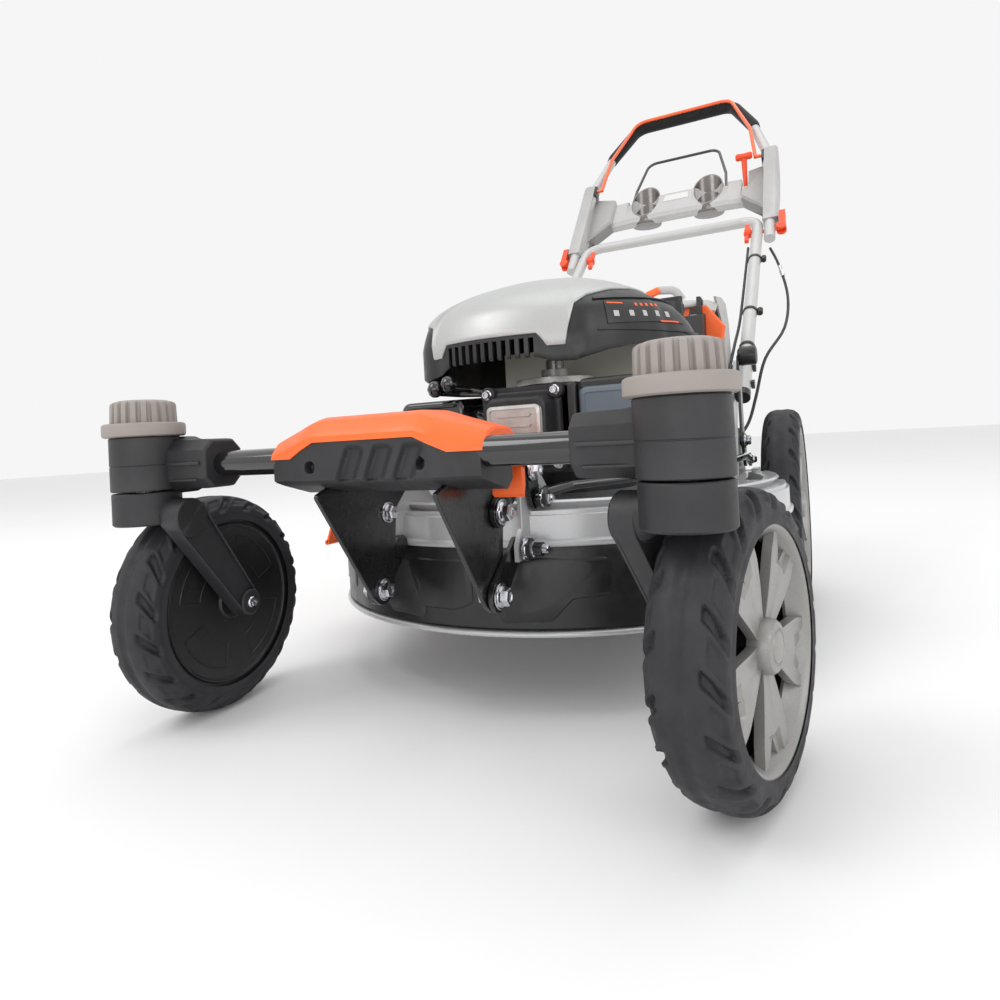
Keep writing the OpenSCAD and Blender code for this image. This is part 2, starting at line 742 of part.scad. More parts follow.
function curve(p, q, r, s, t) = 0.5 * (2 * q + (r - p) * t + (2 * p - 5 * q + 4 * r - s) * t * t
  + (3 * q - p - 3 * r + s) * t * t * t);
function smooth(p, steps) = [for (i = [0 : len(p) - 2], k = [0 : steps - 1])
  curve(p[max(i - 1, 0)], p[i], p[i + 1], p[min(i + 2, len(p) - 1)], k / steps), p[len(p) - 1]];
module cable(route, r) swept(smooth(route, 4), r, 8, [0.3, -0.8, 0.5]);

drive_route = [[212, 1068, 595], [228, 1040, 552], [244, 970, 478], [240, 890, 410], [212, 812, 352],
  [198, 775, 290], [188, 742, 248], [174, 712, 226], [153.5, 690, 216]];
brake_route = [[171, 1066, 602], [171, 1000, 546], [171, 860, 430], [168.3, 790, 380], [168.3, 740, 351],
  [168.3, 690, 320], [168, 645, 290], [166, 600, 262], [160, 548, 254], [122, 490, 250], [62.6, 447, 250]];

module lower_cables() {
  color(black) placed() {
    cable(drive_route, 2.5);
    cable(brake_route, 2.5);
  }
}

module upper_cables() {
  color(black) placed() {
    both_sides() cable([on_handle(206, 6, 17), on_handle(206, 26, 20), on_handle(206, 48, 26.5),
      on_handle(203, 64, 33), on_handle(195.5, 86, 40), on_handle(194, 120, 40), on_handle(194, 169.8, 37)], 2.5);
  }
}

module upper_handle() {
  color(light_grey) placed() difference() {
    swept(upper_path, tube_r, 20, tilted);
    both_sides() rod_x(fold[0], fold[1], 190, 230, 4);
  }
}

module foam_grip() {
  ends = [on_handle(174.6, 400, 0), on_handle(172, 410, 0), on_handle(120, 526, 0)];
  grip_path = rounded(concat(ends, mirrored(ends)), 40);
  color(black) placed() difference() {
    swept(grip_path, grip_r, 20, tilted);
    swept(upper_path, tube_r, 20, tilted);
  }
}

module cup() {
  translate([73, 1243, 738]) cylinder(r = 35, h = 130);
}

// Slot through the console from u up to its edge, between x0 and x1
module slot(u, x0, x1) plate([yz(on_handle(0, u, 0)), yz(on_handle(0, 260, 0)), yz(on_handle(0, 260, 70)),
  yz(on_handle(0, u, 70))], x0, x1);

module console() {
  slab = [yz(on_handle(0, 170, 22)), yz(on_handle(0, 243, 22)), yz(on_handle(0, 243, 48)),
    yz(on_handle(0, 170, 48))];
  arm = [yz(on_handle(0, 24, -14)), yz(on_handle(0, 286, -14)), yz(on_handle(0, 286, 14)),
    yz(on_handle(0, 245, 50)), yz(on_handle(0, 168, 50)), yz(on_handle(0, 24, 14))];
  cut = [yz(on_handle(0, 60, 22)), yz(on_handle(0, 400, 22)), yz(on_handle(0, 400, -150)),
    yz(on_handle(0, 60, -150))];
  color(light_grey) placed() difference() {
    union() {
      plate(slab, -203, 203);
      both_sides() plate(arm, 200, 227);
      both_sides() difference() {
        cup();
        plate(cut, 0, 150);
      }
      both_sides() rod_x(bail_pin[1], bail_pin[2], 186, 203, 8);
    }
    both_sides() translate([73, 1243, 742]) cylinder(r = 32, h = 150);
    swept(upper_path, tube_r, 20, tilted);
    both_sides() rod_x(bail_pin[1], bail_pin[2], 180, 194, 4 + run);
    slot(192, 148, 164);
    rod_x(lever_axis[1], lever_axis[2], 140, 172, 4);
    both_sides() slot(221, 107, 117.2);
    both_sides() rod_x(drive_pin[1], drive_pin[2], 112, 123, 3.5 + run);
  }
}

module clamp_nuts() {
  color(orange) placed() both_sides() {
    rod_x(fold[0], fold[1], 162, 233, 4);
    rod_x(fold[0], fold[1], 164, 176.5, 10);
    translate([164, fold[0], fold[1]]) rotate([-38, 0, 0]) translate([0, -4, -26]) cube([8, 8, 52]);
    translate([234, fold[0], fold[1]]) rotate([-38, 0, 0]) rotate([90, 0, 0])
      cylinder(r = 2.5, h = 19, center = true);
  }
}

module cam_lever() {
  color(orange) placed() translate([234, fold[0], fold[1]]) rotate([-38, 0, 0]) difference() {
    union() {
      rotate([90, 0, 0]) cylinder(r = 9.5, h = 19, center = true);
      translate([-4, -9.5, 4]) cube([12, 19, 44]);
    }
    rotate([90, 0, 0]) cylinder(r = 2.5 + run, h = 30, center = true);
    translate([-20, -4.6, -20]) cube([26, 9.2, 25]);
    translate([-20, -4.6, -20]) cube([40, 9.2, 20]);
  }
}
module cam_lever_right() cam_lever();
module cam_lever_left() mirror([1, 0, 0]) cam_lever();

module brake_bail() {
  ends = [on_handle(181, 260, -8), on_handle(168, 370, -19.5), on_handle(117, 525, -19.5)];
  color(orange) placed() {
    swept(rounded(concat(ends, mirrored(ends)), 34), 4, 10, tilted);
    both_sides() rod_x(bail_pin[1], bail_pin[2], 181, 193.5, 4);
  }
}

drive_pin = on_handle(0, 232, 38);

module drive_bail() {
  ends = [on_handle(112, 232, 38), on_handle(108, 300, 40), on_handle(86, 404, 36)];
  color(black) placed() {
    swept(rounded(concat(ends, mirrored(ends)), 26), 3.5, 10, tilted);
    both_sides() rod_x(drive_pin[1], drive_pin[2], 111, 121, 3.5);
  }
}

lever_axis = on_handle(0, 213, 38);

module speed_lever() {
  color(orange) placed() {
    rod_x(lever_axis[1], lever_axis[2], 151, 161, 9);
    rod_x(lever_axis[1], lever_axis[2], 141, 171, 4 - run);
    swept([on_handle(156, 217, 34), on_handle(156, 268, -8)], 5, 12, tilted);
    rod_x(on_handle(0, 270, -10)[1], on_handle(0, 270, -10)[2], 138, 174, 8);
  }
}

// ---------------------------------------------------------------- flaps

module rear_flap() {
  skin = [[632, 418], [650, 440], [748, 450], [776, 414], [776, 196], [772, 196], [772, 412], [746, 446],
    [652, 436], [636, 418]];
  color(light_grey) placed() difference() {
    union() {
      plate(skin, -164, 164);
      both_sides() plate([[640, 436], [748, 450], [776, 414], [776, 196], [712, 196], [712, 398]], 160, 164);
    }
    both_sides() translate([136, 600, 400]) cube([14, 44, 37]);
  }
  color(light_grey) placed() {
    rod_x(flap_pin[0], flap_pin[1], -145, 145, 4);
    for (x = [-120, 100]) plate([[622, 421], [632, 423], [656, 437], [641, 430], [622, 427]], x, x + 20);
  }
}

module side_flap() {
  color(orange) placed() {
    translate([side_pin[0], 278, side_pin[1]]) rotate([-90, 0, 0]) cylinder(r = 2.5, h = 164);
    translate([side_pin[0], 292, side_pin[1]]) rotate([0, 22, 0]) translate([-3.5, 0, -71]) cube([3.5, 136, 71]);
  }
}

deck_shell();
front_skirt();
rear_housing();
gearbox();
drive_belt();
engine_block();
valve_cover();
muffler();
air_cleaner();
fuel_tank();
engine_shroud();
engine_top_cover();
lower_handle();
lower_cables();
handle_fittings();
lower_links();
upper_links();
height_rod();
cross_tube();
carriage_plates();
bumper_shell();
bumper_base();
swivel_housings();
link_bolts();
lock_knob_left();
lock_knob_right();
caster_fork_left();
caster_fork_right();
front_tyre_left();
front_tyre_right();
front_rim_left();
front_rim_right();
front_cover_left();
front_cover_right();
rear_arms();
rear_tyre_left();
rear_tyre_right();
rear_rim_left();
rear_rim_right();
rear_cover_left();
rear_cover_right();
drive_shaft();
crankshaft();
flywheel();
blade();
height_lever();
upper_handle();
foam_grip();
console();
clamp_nuts();
upper_cables();
brake_bail();
drive_bail();
speed_lever();
cam_lever_left();
cam_lever_right();
rear_flap();
side_flap();
fuel_cap();
starter_grip();
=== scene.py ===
import math

import bmesh
import bpy
import numpy as np
from mathutils import Matrix, Vector


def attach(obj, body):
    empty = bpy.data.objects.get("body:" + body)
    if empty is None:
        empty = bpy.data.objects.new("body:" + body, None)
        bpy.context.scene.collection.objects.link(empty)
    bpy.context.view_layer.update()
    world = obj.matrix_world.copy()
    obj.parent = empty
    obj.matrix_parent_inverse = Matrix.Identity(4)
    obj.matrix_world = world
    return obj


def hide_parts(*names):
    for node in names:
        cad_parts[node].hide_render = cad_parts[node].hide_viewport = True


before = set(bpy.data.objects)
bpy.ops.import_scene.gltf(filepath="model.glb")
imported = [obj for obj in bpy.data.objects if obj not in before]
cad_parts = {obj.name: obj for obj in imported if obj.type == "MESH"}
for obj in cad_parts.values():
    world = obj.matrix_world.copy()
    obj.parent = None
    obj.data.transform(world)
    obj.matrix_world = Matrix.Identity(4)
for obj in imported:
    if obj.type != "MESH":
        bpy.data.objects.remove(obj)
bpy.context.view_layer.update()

# Lengths are in millimetres in the CAD source's own layout (y = 0 at the caster axes) until to_scene() turns
# them into metres in the shared frame.
CASTER_Y = 696.0
CASTER_X = 235.0
SWIVEL = {-1: 4.0, 1: -12.0}
SIDES = ((-1, "left"), (1, "right"))
FRONT_R, FRONT_W, TRAIL = 101.5, 50.0, 70.0
REAR_R, REAR_W, REAR_X, REAR_Y = 131.0, 45.0, 247.0, 608.0
CRANK_Y = 400.0
DECK_R = 265.0
RIM_Z = 68.0
TUBE_Y, TUBE_Z = 22.0, 235.0
TUBE_R = 11.0
FOLD = (1088.0, 637.0)
TILT = math.radians(52)


# ---------------------------------------------------------------- camera and lights

def make_camera():
    yaw, pitch, roll = math.radians(26.5), math.radians(1.0), math.radians(-3.2)
    ahead = Vector((-math.sin(yaw) * math.cos(pitch), math.cos(yaw) * math.cos(pitch), math.sin(pitch)))
    right = Vector((math.cos(yaw), math.sin(yaw), 0))
    up = right.cross(ahead)
    across = right * math.cos(roll) + up * math.sin(roll)
    above = up * math.cos(roll) - right * math.sin(roll)
    data = bpy.data.cameras.new("camera")
    data.sensor_width = 36
    data.lens = 24.48
    data.shift_y = -0.073
    data.clip_start = 0.02
    camera = bpy.data.objects.new("camera", data)
    camera.matrix_world = Matrix((
        (across.x, above.x, -ahead.x, 0.316),
        (across.y, above.y, -ahead.y, -1.095),
        (across.z, above.z, -ahead.z, 0.243),
        (0, 0, 0, 1)))
    bpy.context.scene.collection.objects.link(camera)
    bpy.context.scene.camera = camera


def area_light(name, place, aim, size, power, tint=(1, 1, 1)):
    data = bpy.data.lights.new(name, "AREA")
    data.shape = "RECTANGLE"
    data.size, data.size_y = size
    data.energy = power
    data.color = tint
    lamp = bpy.data.objects.new(name, data)
    lamp.location = place
    lamp.rotation_mode = "QUATERNION"
    lamp.rotation_quaternion = (Vector(aim) - Vector(place)).to_track_quat("-Z", "Y")
    bpy.context.scene.collection.objects.link(lamp)


def make_world():
    world = bpy.data.worlds.new("studio")
    bpy.context.scene.world = world
    world.use_nodes = True
    back = world.node_tree.nodes["Background"]
    back.inputs["Color"].default_value = (1.0, 1.0, 1.0, 1)
    back.inputs["Strength"].default_value = 0.92
    area_light("key", (-1.6, -2.2, 2.6), (0, -0.3, 0.3), (1.6, 1.6), 30)
    area_light("fill", (2.6, -1.6, 1.6), (0, -0.2, 0.3), (1.4, 2.0), 16)
    area_light("top", (0.2, 0.2, 3.2), (0, 0, 0.3), (2.6, 2.6), 18)
    area_light("low", (0.5, -2.4, 0.5), (0, -0.3, 0.3), (2.0, 0.5), 6)
    bpy.context.scene.view_settings.view_transform = "Standard"


make_camera()
make_world()


# ---------------------------------------------------------------- materials

def node(tree, kind, **values):
    made = tree.nodes.new(kind)
    for key, value in values.items():
        if key.startswith("in_"):
            name = key[3:].replace("_", " ")
            socket = made.inputs[int(name)] if name.isdigit() else made.inputs[name]
            socket.default_value = value
        else:
            setattr(made, key, value)
    return made


def shade(colour, share):
    return tuple(min(1.0, c * share) for c in colour[:3]) + (1,)


def material(name, colour, rough, metal=0.0, vary=0.1, patch=14.0, grain=1400.0, bump=0.12, rough_vary=0.1,
             coat=0.0, coat_rough=0.08, flakes=0.0, brush=None, sheen=0.0, specular=0.5, wear=0.0,
             cells=0.0):
    """Colour drifts over patches, a fine grain lifts the surface, and roughness drifts with a third noise."""
    made = bpy.data.materials.new(name)
    made.use_nodes = True
    tree = made.node_tree
    surface = tree.nodes["Principled BSDF"]
    link = tree.links.new
    place = node(tree, "ShaderNodeTexCoord").outputs["Object"]
    drift = node(tree, "ShaderNodeTexNoise", in_Scale=patch, in_Detail=5.0, in_Roughness=0.62)
    link(place, drift.inputs["Vector"])
    tint = node(tree, "ShaderNodeMix", data_type="RGBA")
    tint.inputs[6].default_value = shade(colour, 1 - vary)
    tint.inputs[7].default_value = shade(colour, 1 + vary)
    spread = node(tree, "ShaderNodeMapRange", in_1=0.3, in_2=0.7)
    link(drift.outputs["Fac"], spread.inputs[0])
    link(spread.outputs[0], tint.inputs[0])
    shown = tint.outputs[2]
    if flakes:
        specks = node(tree, "ShaderNodeTexVoronoi", in_Scale=2600.0)
        link(place, specks.inputs["Vector"])
        mixed = node(tree, "ShaderNodeMix", data_type="RGBA", blend_type="SOFT_LIGHT")
        mixed.inputs[0].default_value = flakes
        link(shown, mixed.inputs[6])
        link(specks.outputs["Color"], mixed.inputs[7])
        shown = mixed.outputs[2]
    if wear:
        point = node(tree, "ShaderNodeNewGeometry").outputs["Pointiness"]
        edge = node(tree, "ShaderNodeMapRange", in_1=0.52, in_2=0.6)
        link(point, edge.inputs[0])
        scaled = node(tree, "ShaderNodeMath", operation="MULTIPLY", in_1=wear)
        link(edge.outputs[0], scaled.inputs[0])
        worn = node(tree, "ShaderNodeMix", data_type="RGBA")
        worn.inputs[7].default_value = shade([min(1.0, c * 1.5 + 0.06) for c in colour], 1)
        link(scaled.outputs[0], worn.inputs[0])
        link(shown, worn.inputs[6])
        shown = worn.outputs[2]
    link(shown, surface.inputs["Base Color"])
    fine = node(tree, "ShaderNodeTexNoise", in_Scale=grain, in_Detail=3.0)
    if cells:
        fine = node(tree, "ShaderNodeTexVoronoi", in_Scale=cells)
    if brush:
        stretch = node(tree, "ShaderNodeMapping", in_Scale=brush)
        link(place, stretch.inputs["Vector"])
        link(stretch.outputs["Vector"], fine.inputs["Vector"])
    else:
        link(place, fine.inputs["Vector"])
    lift = node(tree, "ShaderNodeBump", in_Strength=bump, in_Distance=0.0004)
    link(fine.outputs["Distance" if cells else "Fac"], lift.inputs["Height"])
    link(lift.outputs["Normal"], surface.inputs["Normal"])
    marks = node(tree, "ShaderNodeTexNoise", in_Scale=55.0, in_Detail=6.0, in_Roughness=0.7)
    link(place, marks.inputs["Vector"])
    gloss = node(tree, "ShaderNodeMapRange", in_1=0.3, in_2=0.7, in_3=max(0.03, rough - rough_vary),
                 in_4=min(1.0, rough + rough_vary))
    link(marks.outputs["Fac"], gloss.inputs[0])
    link(gloss.outputs[0], surface.inputs["Roughness"])
    surface.inputs["Metallic"].default_value = metal
    surface.inputs["Specular IOR Level"].default_value = specular
    surface.inputs["Coat Weight"].default_value = coat
    surface.inputs["Coat Roughness"].default_value = coat_rough
    surface.inputs["Sheen Weight"].default_value = sheen
    return made


M = {
    "orange": material("orange_plastic", (0.98, 0.135, 0.018), 0.42, vary=0.05, grain=900, bump=0.05),
    "orange_red": material("orange_lever_plastic", (0.84, 0.07, 0.012), 0.38, vary=0.05, bump=0.05),
    "orange_paint": material("orange_enamel", (0.93, 0.115, 0.015), 0.3, vary=0.04, bump=0.03, coat=0.5),
    "knob": material("warm_grey_plastic", (0.30, 0.265, 0.245), 0.55, vary=0.06, grain=1100, bump=0.1),
    "black": material("black_plastic", (0.016, 0.016, 0.018), 0.52, vary=0.3, grain=1500, bump=0.16,
                      wear=0.25),
    "black_fine": material("black_plastic_smooth", (0.012, 0.012, 0.013), 0.36, vary=0.3, grain=2200,
                           bump=0.05),
    "gloss": material("black_gloss_paint", (0.006, 0.006, 0.007), 0.14, vary=0.3, bump=0.015,
                      rough_vary=0.05, coat=0.8, coat_rough=0.05),
    "enamel": material("black_enamel_plate", (0.008, 0.008, 0.009), 0.28, vary=0.3, bump=0.06,
                       rough_vary=0.08, coat=0.3, coat_rough=0.2),
    "rubber": material("tyre_rubber", (0.021, 0.021, 0.024), 0.6, vary=0.3, patch=26, grain=1000, bump=0.22,
                       rough_vary=0.14, specular=0.4),
    "silver": material("silver_plastic", (0.46, 0.465, 0.46), 0.4, metal=0.35, vary=0.02, grain=2600,
                       bump=0.02,
                       flakes=0.2, rough_vary=0.03),
    "cover": material("satin_silver_plastic", (0.30, 0.295, 0.285), 0.38, metal=0.4, vary=0.04, grain=2200,
                      bump=0.03,
                      flakes=0.2, rough_vary=0.04),
    "deck": material("silver_deck_paint", (0.52, 0.525, 0.53), 0.3, metal=0.35, vary=0.02, grain=2400,
                     bump=0.01,
                     flakes=0.2, rough_vary=0.03, coat=0.2),
    "tube": material("grey_tube_paint", (0.50, 0.50, 0.49), 0.32, metal=0.1, vary=0.02, grain=2000,
                     bump=0.015,
                     flakes=0.1, rough_vary=0.03, coat=0.2),
    "grey": material("light_grey_plastic", (0.46, 0.455, 0.445), 0.46, vary=0.05, grain=1200, bump=0.09),
    "cast": material("cast_aluminium", (0.50, 0.49, 0.47), 0.4, metal=0.9, vary=0.14, patch=40, grain=700,
                     bump=0.3, rough_vary=0.12),
    "casting": material("dark_casting", (0.03, 0.03, 0.032), 0.5, metal=0.5, vary=0.3, patch=40, grain=500,
                        bump=0.4),
    "steel": material("bare_steel", (0.44, 0.43, 0.42), 0.3, metal=1.0, vary=0.12, patch=40, grain=900,
                      bump=0.12),
    "zinc": material("zinc_plate", (0.62, 0.62, 0.66), 0.2, metal=1.0, vary=0.14, patch=60, grain=800,
                     bump=0.08, rough_vary=0.1),
    "green": material("green_metal", (0.008, 0.085, 0.042), 0.36, vary=0.15, bump=0.06, coat=0.2),
    "blue_grey": material("blue_grey_plastic", (0.10, 0.125, 0.15), 0.5, vary=0.1, bump=0.08),
    "foam": material("handle_foam", (0.011, 0.011, 0.012), 0.85, vary=0.3, patch=60, bump=0.7, cells=900,
                     specular=0.25, sheen=0.15, rough_vary=0.05),
    "cable": material("cable_sheath", (0.010, 0.012, 0.018), 0.42, vary=0.2, bump=0.04),
    "cup": material("dark_silver_lacquer", (0.20, 0.185, 0.175), 0.24, metal=0.8, vary=0.08, grain=2200,
                    bump=0.04, flakes=0.2),
    "belt": material("belt_rubber", (0.02, 0.02, 0.02), 0.7, vary=0.2, bump=0.2),
    "tank": material("tank_plastic", (0.62, 0.60, 0.52), 0.5, vary=0.05, bump=0.08),
    "label": material("label_film", (0.62, 0.62, 0.60), 0.35, vary=0.03, bump=0.01),
    "label_dark": material("label_dark_film", (0.02, 0.02, 0.022), 0.3, vary=0.1, bump=0.01),
    "inner_steel": material("blade_steel", (0.28, 0.27, 0.26), 0.42, metal=1.0, vary=0.15, patch=50,
                            grain=600, bump=0.2),
}


# ---------------------------------------------------------------- geometry helpers

def array(points):
    return np.array(points, float).reshape(-1, 3)


def lofted(rings, closed=True, caps=True):
    """Quads between rings of the same number of points."""
    rings = [array(r) for r in rings]
    n = len(rings[0])
    faces = []
    for i in range(len(rings) - 1):
        for k in range(n if closed else n - 1):
            a, b = i * n + k, i * n + (k + 1) % n
            faces.append((a, b, b + n, a + n))
    if caps:
        faces.append(tuple(range(n)))
        faces.append(tuple((len(rings) - 1) * n + k for k in range(n)))
    return np.vstack(rings), faces


def sheet_solid(outer, inner):
    """A closed shell between two grids of points of the same shape (rows, columns, 3)."""
    outer, inner = np.array(outer, float), np.array(inner, float)
    rows, cols = outer.shape[:2]
    faces = []
    size = rows * cols
    for i in range(rows - 1):
        for k in range(cols - 1):
            a = i * cols + k
            faces.append((a, a + 1, a + cols + 1, a + cols))
            faces.append((size + a, size + a + cols, size + a + cols + 1, size + a + 1))
    for i in range(rows - 1):
        for k in (0, cols - 1):
            a = i * cols + k
            faces.append((a, a + cols, size + a + cols, size + a))
    for k in range(cols - 1):
        for i in (0, rows - 1):
            a = i * cols + k
            faces.append((a, a + 1, size + a + 1, size + a))
    return np.vstack([outer.reshape(-1, 3), inner.reshape(-1, 3)]), faces


def lathe(profile, at, axis="x", n=72, loop=True):
    """A profile of (radius, along) turned about an axis through at; loop joins its ends."""
    at = np.array(at, float)
    turn = np.arange(n) * 2 * math.pi / n
    rings = []
    for r, a in profile:
        c, s = r * np.cos(turn), r * np.sin(turn)
        flat = np.full(n, float(a))
        if axis == "x":
            ring = np.stack([flat, c, s], 1)
        elif axis == "y":
            ring = np.stack([c, flat, s], 1)
        else:
            ring = np.stack([c, s, flat], 1)
        rings.append(ring + at)
    if loop:
        rings.append(rings[0])
        return lofted(rings, caps=False)
    return lofted(rings, caps=True)


def sweep(points, r, n=16, caps=True, flat=1.0, up=(0.3, -0.8, 0.5)):
    """A round bar along a route; r may be a list of radii, and flat squashes the section along up."""
    points = array(points)
    m = len(points)
    radii = np.full(m, float(r)) if np.isscalar(r) else np.array(r, float)
    steps = np.diff(points, axis=0)
    steps /= np.linalg.norm(steps, axis=1)[:, None]
    tangents = np.vstack([steps[:1], steps[:-1] + steps[1:], steps[-1:]])
    tangents /= np.linalg.norm(tangents, axis=1)[:, None]
    side = np.cross(tangents[0], np.array(up, float))
    side /= np.linalg.norm(side)
    rings = []
    turn = np.arange(n) * 2 * math.pi / n
    for i in range(m):
        side = side - tangents[i] * (side @ tangents[i])
        side /= np.linalg.norm(side)
        other = np.cross(tangents[i], side)
        rings.append(points[i] + radii[i] * (np.outer(np.cos(turn), side) + flat * np.outer(np.sin(turn),
            other)))
    return lofted(rings, caps=caps)


def rounded(points, radius, steps=9):
    """A route whose corners are rounded to arcs."""
    points = array(points)
    out = [points[0]]
    for a, b, c in zip(points[:-2], points[1:-1], points[2:]):
        u, v = (a - b) / np.linalg.norm(a - b), (c - b) / np.linalg.norm(c - b)
        half = math.acos(max(-1, min(1, float(u @ v)))) / 2
        reach = min(radius / math.tan(half), 0.49 * min(np.linalg.norm(a - b), np.linalg.norm(c - b)))
        r = reach * math.tan(half)
        mid = b + (u + v) / np.linalg.norm(u + v) * r / math.sin(half)
        e0, e1 = b + u * reach - mid, b + v * reach - mid
        turn = math.pi - 2 * half
        for k in range(steps + 1):
            t = k / steps
            out.append(mid + (e0 * math.sin(turn * (1 - t)) + e1 * math.sin(turn * t)) / math.sin(turn))
    out.append(points[-1])
    return np.array(out)


def spline(points, steps=8):
    """A smooth route through every point."""
    p = array(points)
    out = []
    for i in range(len(p) - 1):
        a, b, c, d = p[max(i - 1, 0)], p[i], p[i + 1], p[min(i + 2, len(p) - 1)]
        for k in range(steps):
            t = k / steps
            square, cube = 2 * a - 5 * b + 4 * c - d, 3 * b - a - 3 * c + d
            out.append(0.5 * (2 * b + (c - a) * t + square * t * t + cube * t ** 3))
    out.append(p[-1])
    return np.array(out)


def prism(outline, x0, x1):
    """An outline of (y, z) points made solid between x0 and x1."""
    return lofted([[(x, y, z) for y, z in outline] for x in (x0, x1)])


def slab(outline, z0, z1):
    """An outline of (x, y) points made solid between z0 and z1."""
    return lofted([[(x, y, z) for x, y in outline] for z in (z0, z1)])


def block(x0, x1, y0, y1, z0, z1):
    return prism([(y0, z0), (y1, z0), (y1, z1), (y0, z1)], x0, x1)


def circle(cy, cz, r, n=48, start=0.0, end=360.0):
    full = abs(end - start) >= 360
    angles = np.radians(np.linspace(start, end, n, endpoint=not full))
    return [(cy + r * math.cos(a), cz + r * math.sin(a)) for a in angles]


def capsule(a, b, ra, rb, n=18):
    """The outline of a tapered strap between two round ends in the (y, z) plane."""
    a, b = np.array(a, float), np.array(b, float)
    d = b - a
    length = np.linalg.norm(d)
    base = math.atan2(d[1], d[0])
    lean = math.acos(max(-1.0, min(1.0, (ra - rb) / length)))
    first = np.linspace(base + lean, base + 2 * math.pi - lean, n)
    second = np.linspace(base - lean, base + lean, n)
    return [tuple(a + ra * np.array([math.cos(t), math.sin(t)])) for t in first] + \
        [tuple(b + rb * np.array([math.cos(t), math.sin(t)])) for t in second]


def moved(part, matrix):
    v, f = part
    m = np.array(matrix, float)
    return array(v) @ m[:3, :3].T + m[:3, 3], f


def shifted(part, dx=0, dy=0, dz=0):
    return array(part[0]) + np.array([dx, dy, dz], float), part[1]


def flipped(part):
    return array(part[0]) * np.array([-1, 1, 1.0]), [tuple(reversed(f)) for f in part[1]]


def both(parts):
    return list(parts) + [flipped(p) for p in parts]


def turned(axis, degrees, at=(0, 0, 0)):
    """A turn about an axis through a point, as a 4x4 matrix."""
    at = Vector(at)
    return np.array(Matrix.Translation(at) @ Matrix.Rotation(math.radians(degrees), 4,
        axis) @ Matrix.Translation(-at))


def ease(x, a, b):
    t = np.clip((np.asarray(x, float) - a) / (b - a), 0, 1)
    return t * t * (3 - 2 * t)


def to_scene(v):
    v = array(v).copy()
    v[:, 1] -= CASTER_Y
    return v * 0.001


def piece(name, parts, body, look, replaces=(), bevel=0.0, angle=32, segments=2, subdivide=0,
          sharp=38, weld=True):
    """One visible piece: its parts are joined, put in the shared frame and given a material."""
    mesh = bpy.data.meshes.new(name)
    bm = bmesh.new()
    for v, f in parts:
        v = to_scene(v)
        made = [bm.verts.new(p) for p in v]
        for face in f:
            if len(set(face)) > 2:
                try:
                    bm.faces.new([made[i] for i in face])
                except ValueError:
                    pass
    if weld:
        bmesh.ops.remove_doubles(bm, verts=bm.verts, dist=2e-6)
    bmesh.ops.dissolve_degenerate(bm, edges=bm.edges, dist=1e-7)
    bmesh.ops.recalc_face_normals(bm, faces=bm.faces)
    for f in bm.faces:
        f.smooth = True
    if not bevel:
        for e in bm.edges:
            if len(e.link_faces) == 2 and e.calc_face_angle(0) > math.radians(sharp):
                e.smooth = False
    bm.to_mesh(mesh)
    bm.free()
    mesh.materials.append(M[look])
    made = bpy.data.objects.new(name, mesh)
    bpy.context.scene.collection.objects.link(made)
    if bevel:
        soften(made, bevel, angle, segments)
    if subdivide:
        more = made.modifiers.new("subdivide", "SUBSURF")
        more.levels = more.render_levels = subdivide
    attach(made, body)
    if replaces:
        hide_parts(*([replaces] if isinstance(replaces, str) else replaces))
    return made


def soften(made, width, angle=32, segments=2):
    edges = made.modifiers.new("bevel", "BEVEL")
    edges.width = width * 0.001
    edges.segments = segments
    edges.limit_method = "ANGLE"
    edges.angle_limit = math.radians(angle)
    normals = made.modifiers.new("normals", "WEIGHTED_NORMAL")
    normals.keep_sharp = True


def carved(made, *cutters):
    """Cuts parts out of a piece, before its edges are softened."""
    held = [(m.type, m.width, m.segments, m.angle_limit) for m in made.modifiers if m.type == "BEVEL"]
    made.modifiers.clear()
    for part in cutters:
        mesh = bpy.data.meshes.new("cutter")
        bm = bmesh.new()
        verts = [bm.verts.new(p) for p in to_scene(part[0])]
        for face in part[1]:
            bm.faces.new([verts[i] for i in face])
        bmesh.ops.remove_doubles(bm, verts=bm.verts, dist=2e-6)
        bmesh.ops.recalc_face_normals(bm, faces=bm.faces)
        bm.to_mesh(mesh)
        bm.free()
        tool = bpy.data.objects.new("cutter", mesh)
        bpy.context.scene.collection.objects.link(tool)
        cut = made.modifiers.new("cut", "BOOLEAN")
        cut.operation = "DIFFERENCE"
        cut.solver = "EXACT"
        cut.use_self = True
        cut.object = tool
        bpy.context.view_layer.update()
        result = bpy.data.meshes.new_from_object(made.evaluated_get(bpy.context.evaluated_depsgraph_get()))
        made.modifiers.clear()
        made.data = result
        bpy.data.objects.remove(tool)
    bm = bmesh.new()
    bm.from_mesh(made.data)
    for f in bm.faces:
        f.smooth = True
    for e in bm.edges:
        e.smooth = bool(held) or not (len(e.link_faces) == 2 and e.calc_face_angle(0) > math.radians(36))
    bm.to_mesh(made.data)
    bm.free()
    for _, width, segments, limit in held:
        soften(made, width * 1000, math.degrees(limit), segments)
    return made


def keep_cad(name, look, bevel=0.0, angle=30):
    """A CAD node that stays, with a better material and softened edges."""
    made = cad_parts[name]
    made.data.materials.clear()
    made.data.materials.append(M[look])
    if bevel:
        join = made.modifiers.new("weld", "WELD")
        join.merge_threshold = 1e-6
        soften(made, bevel, angle, 2)


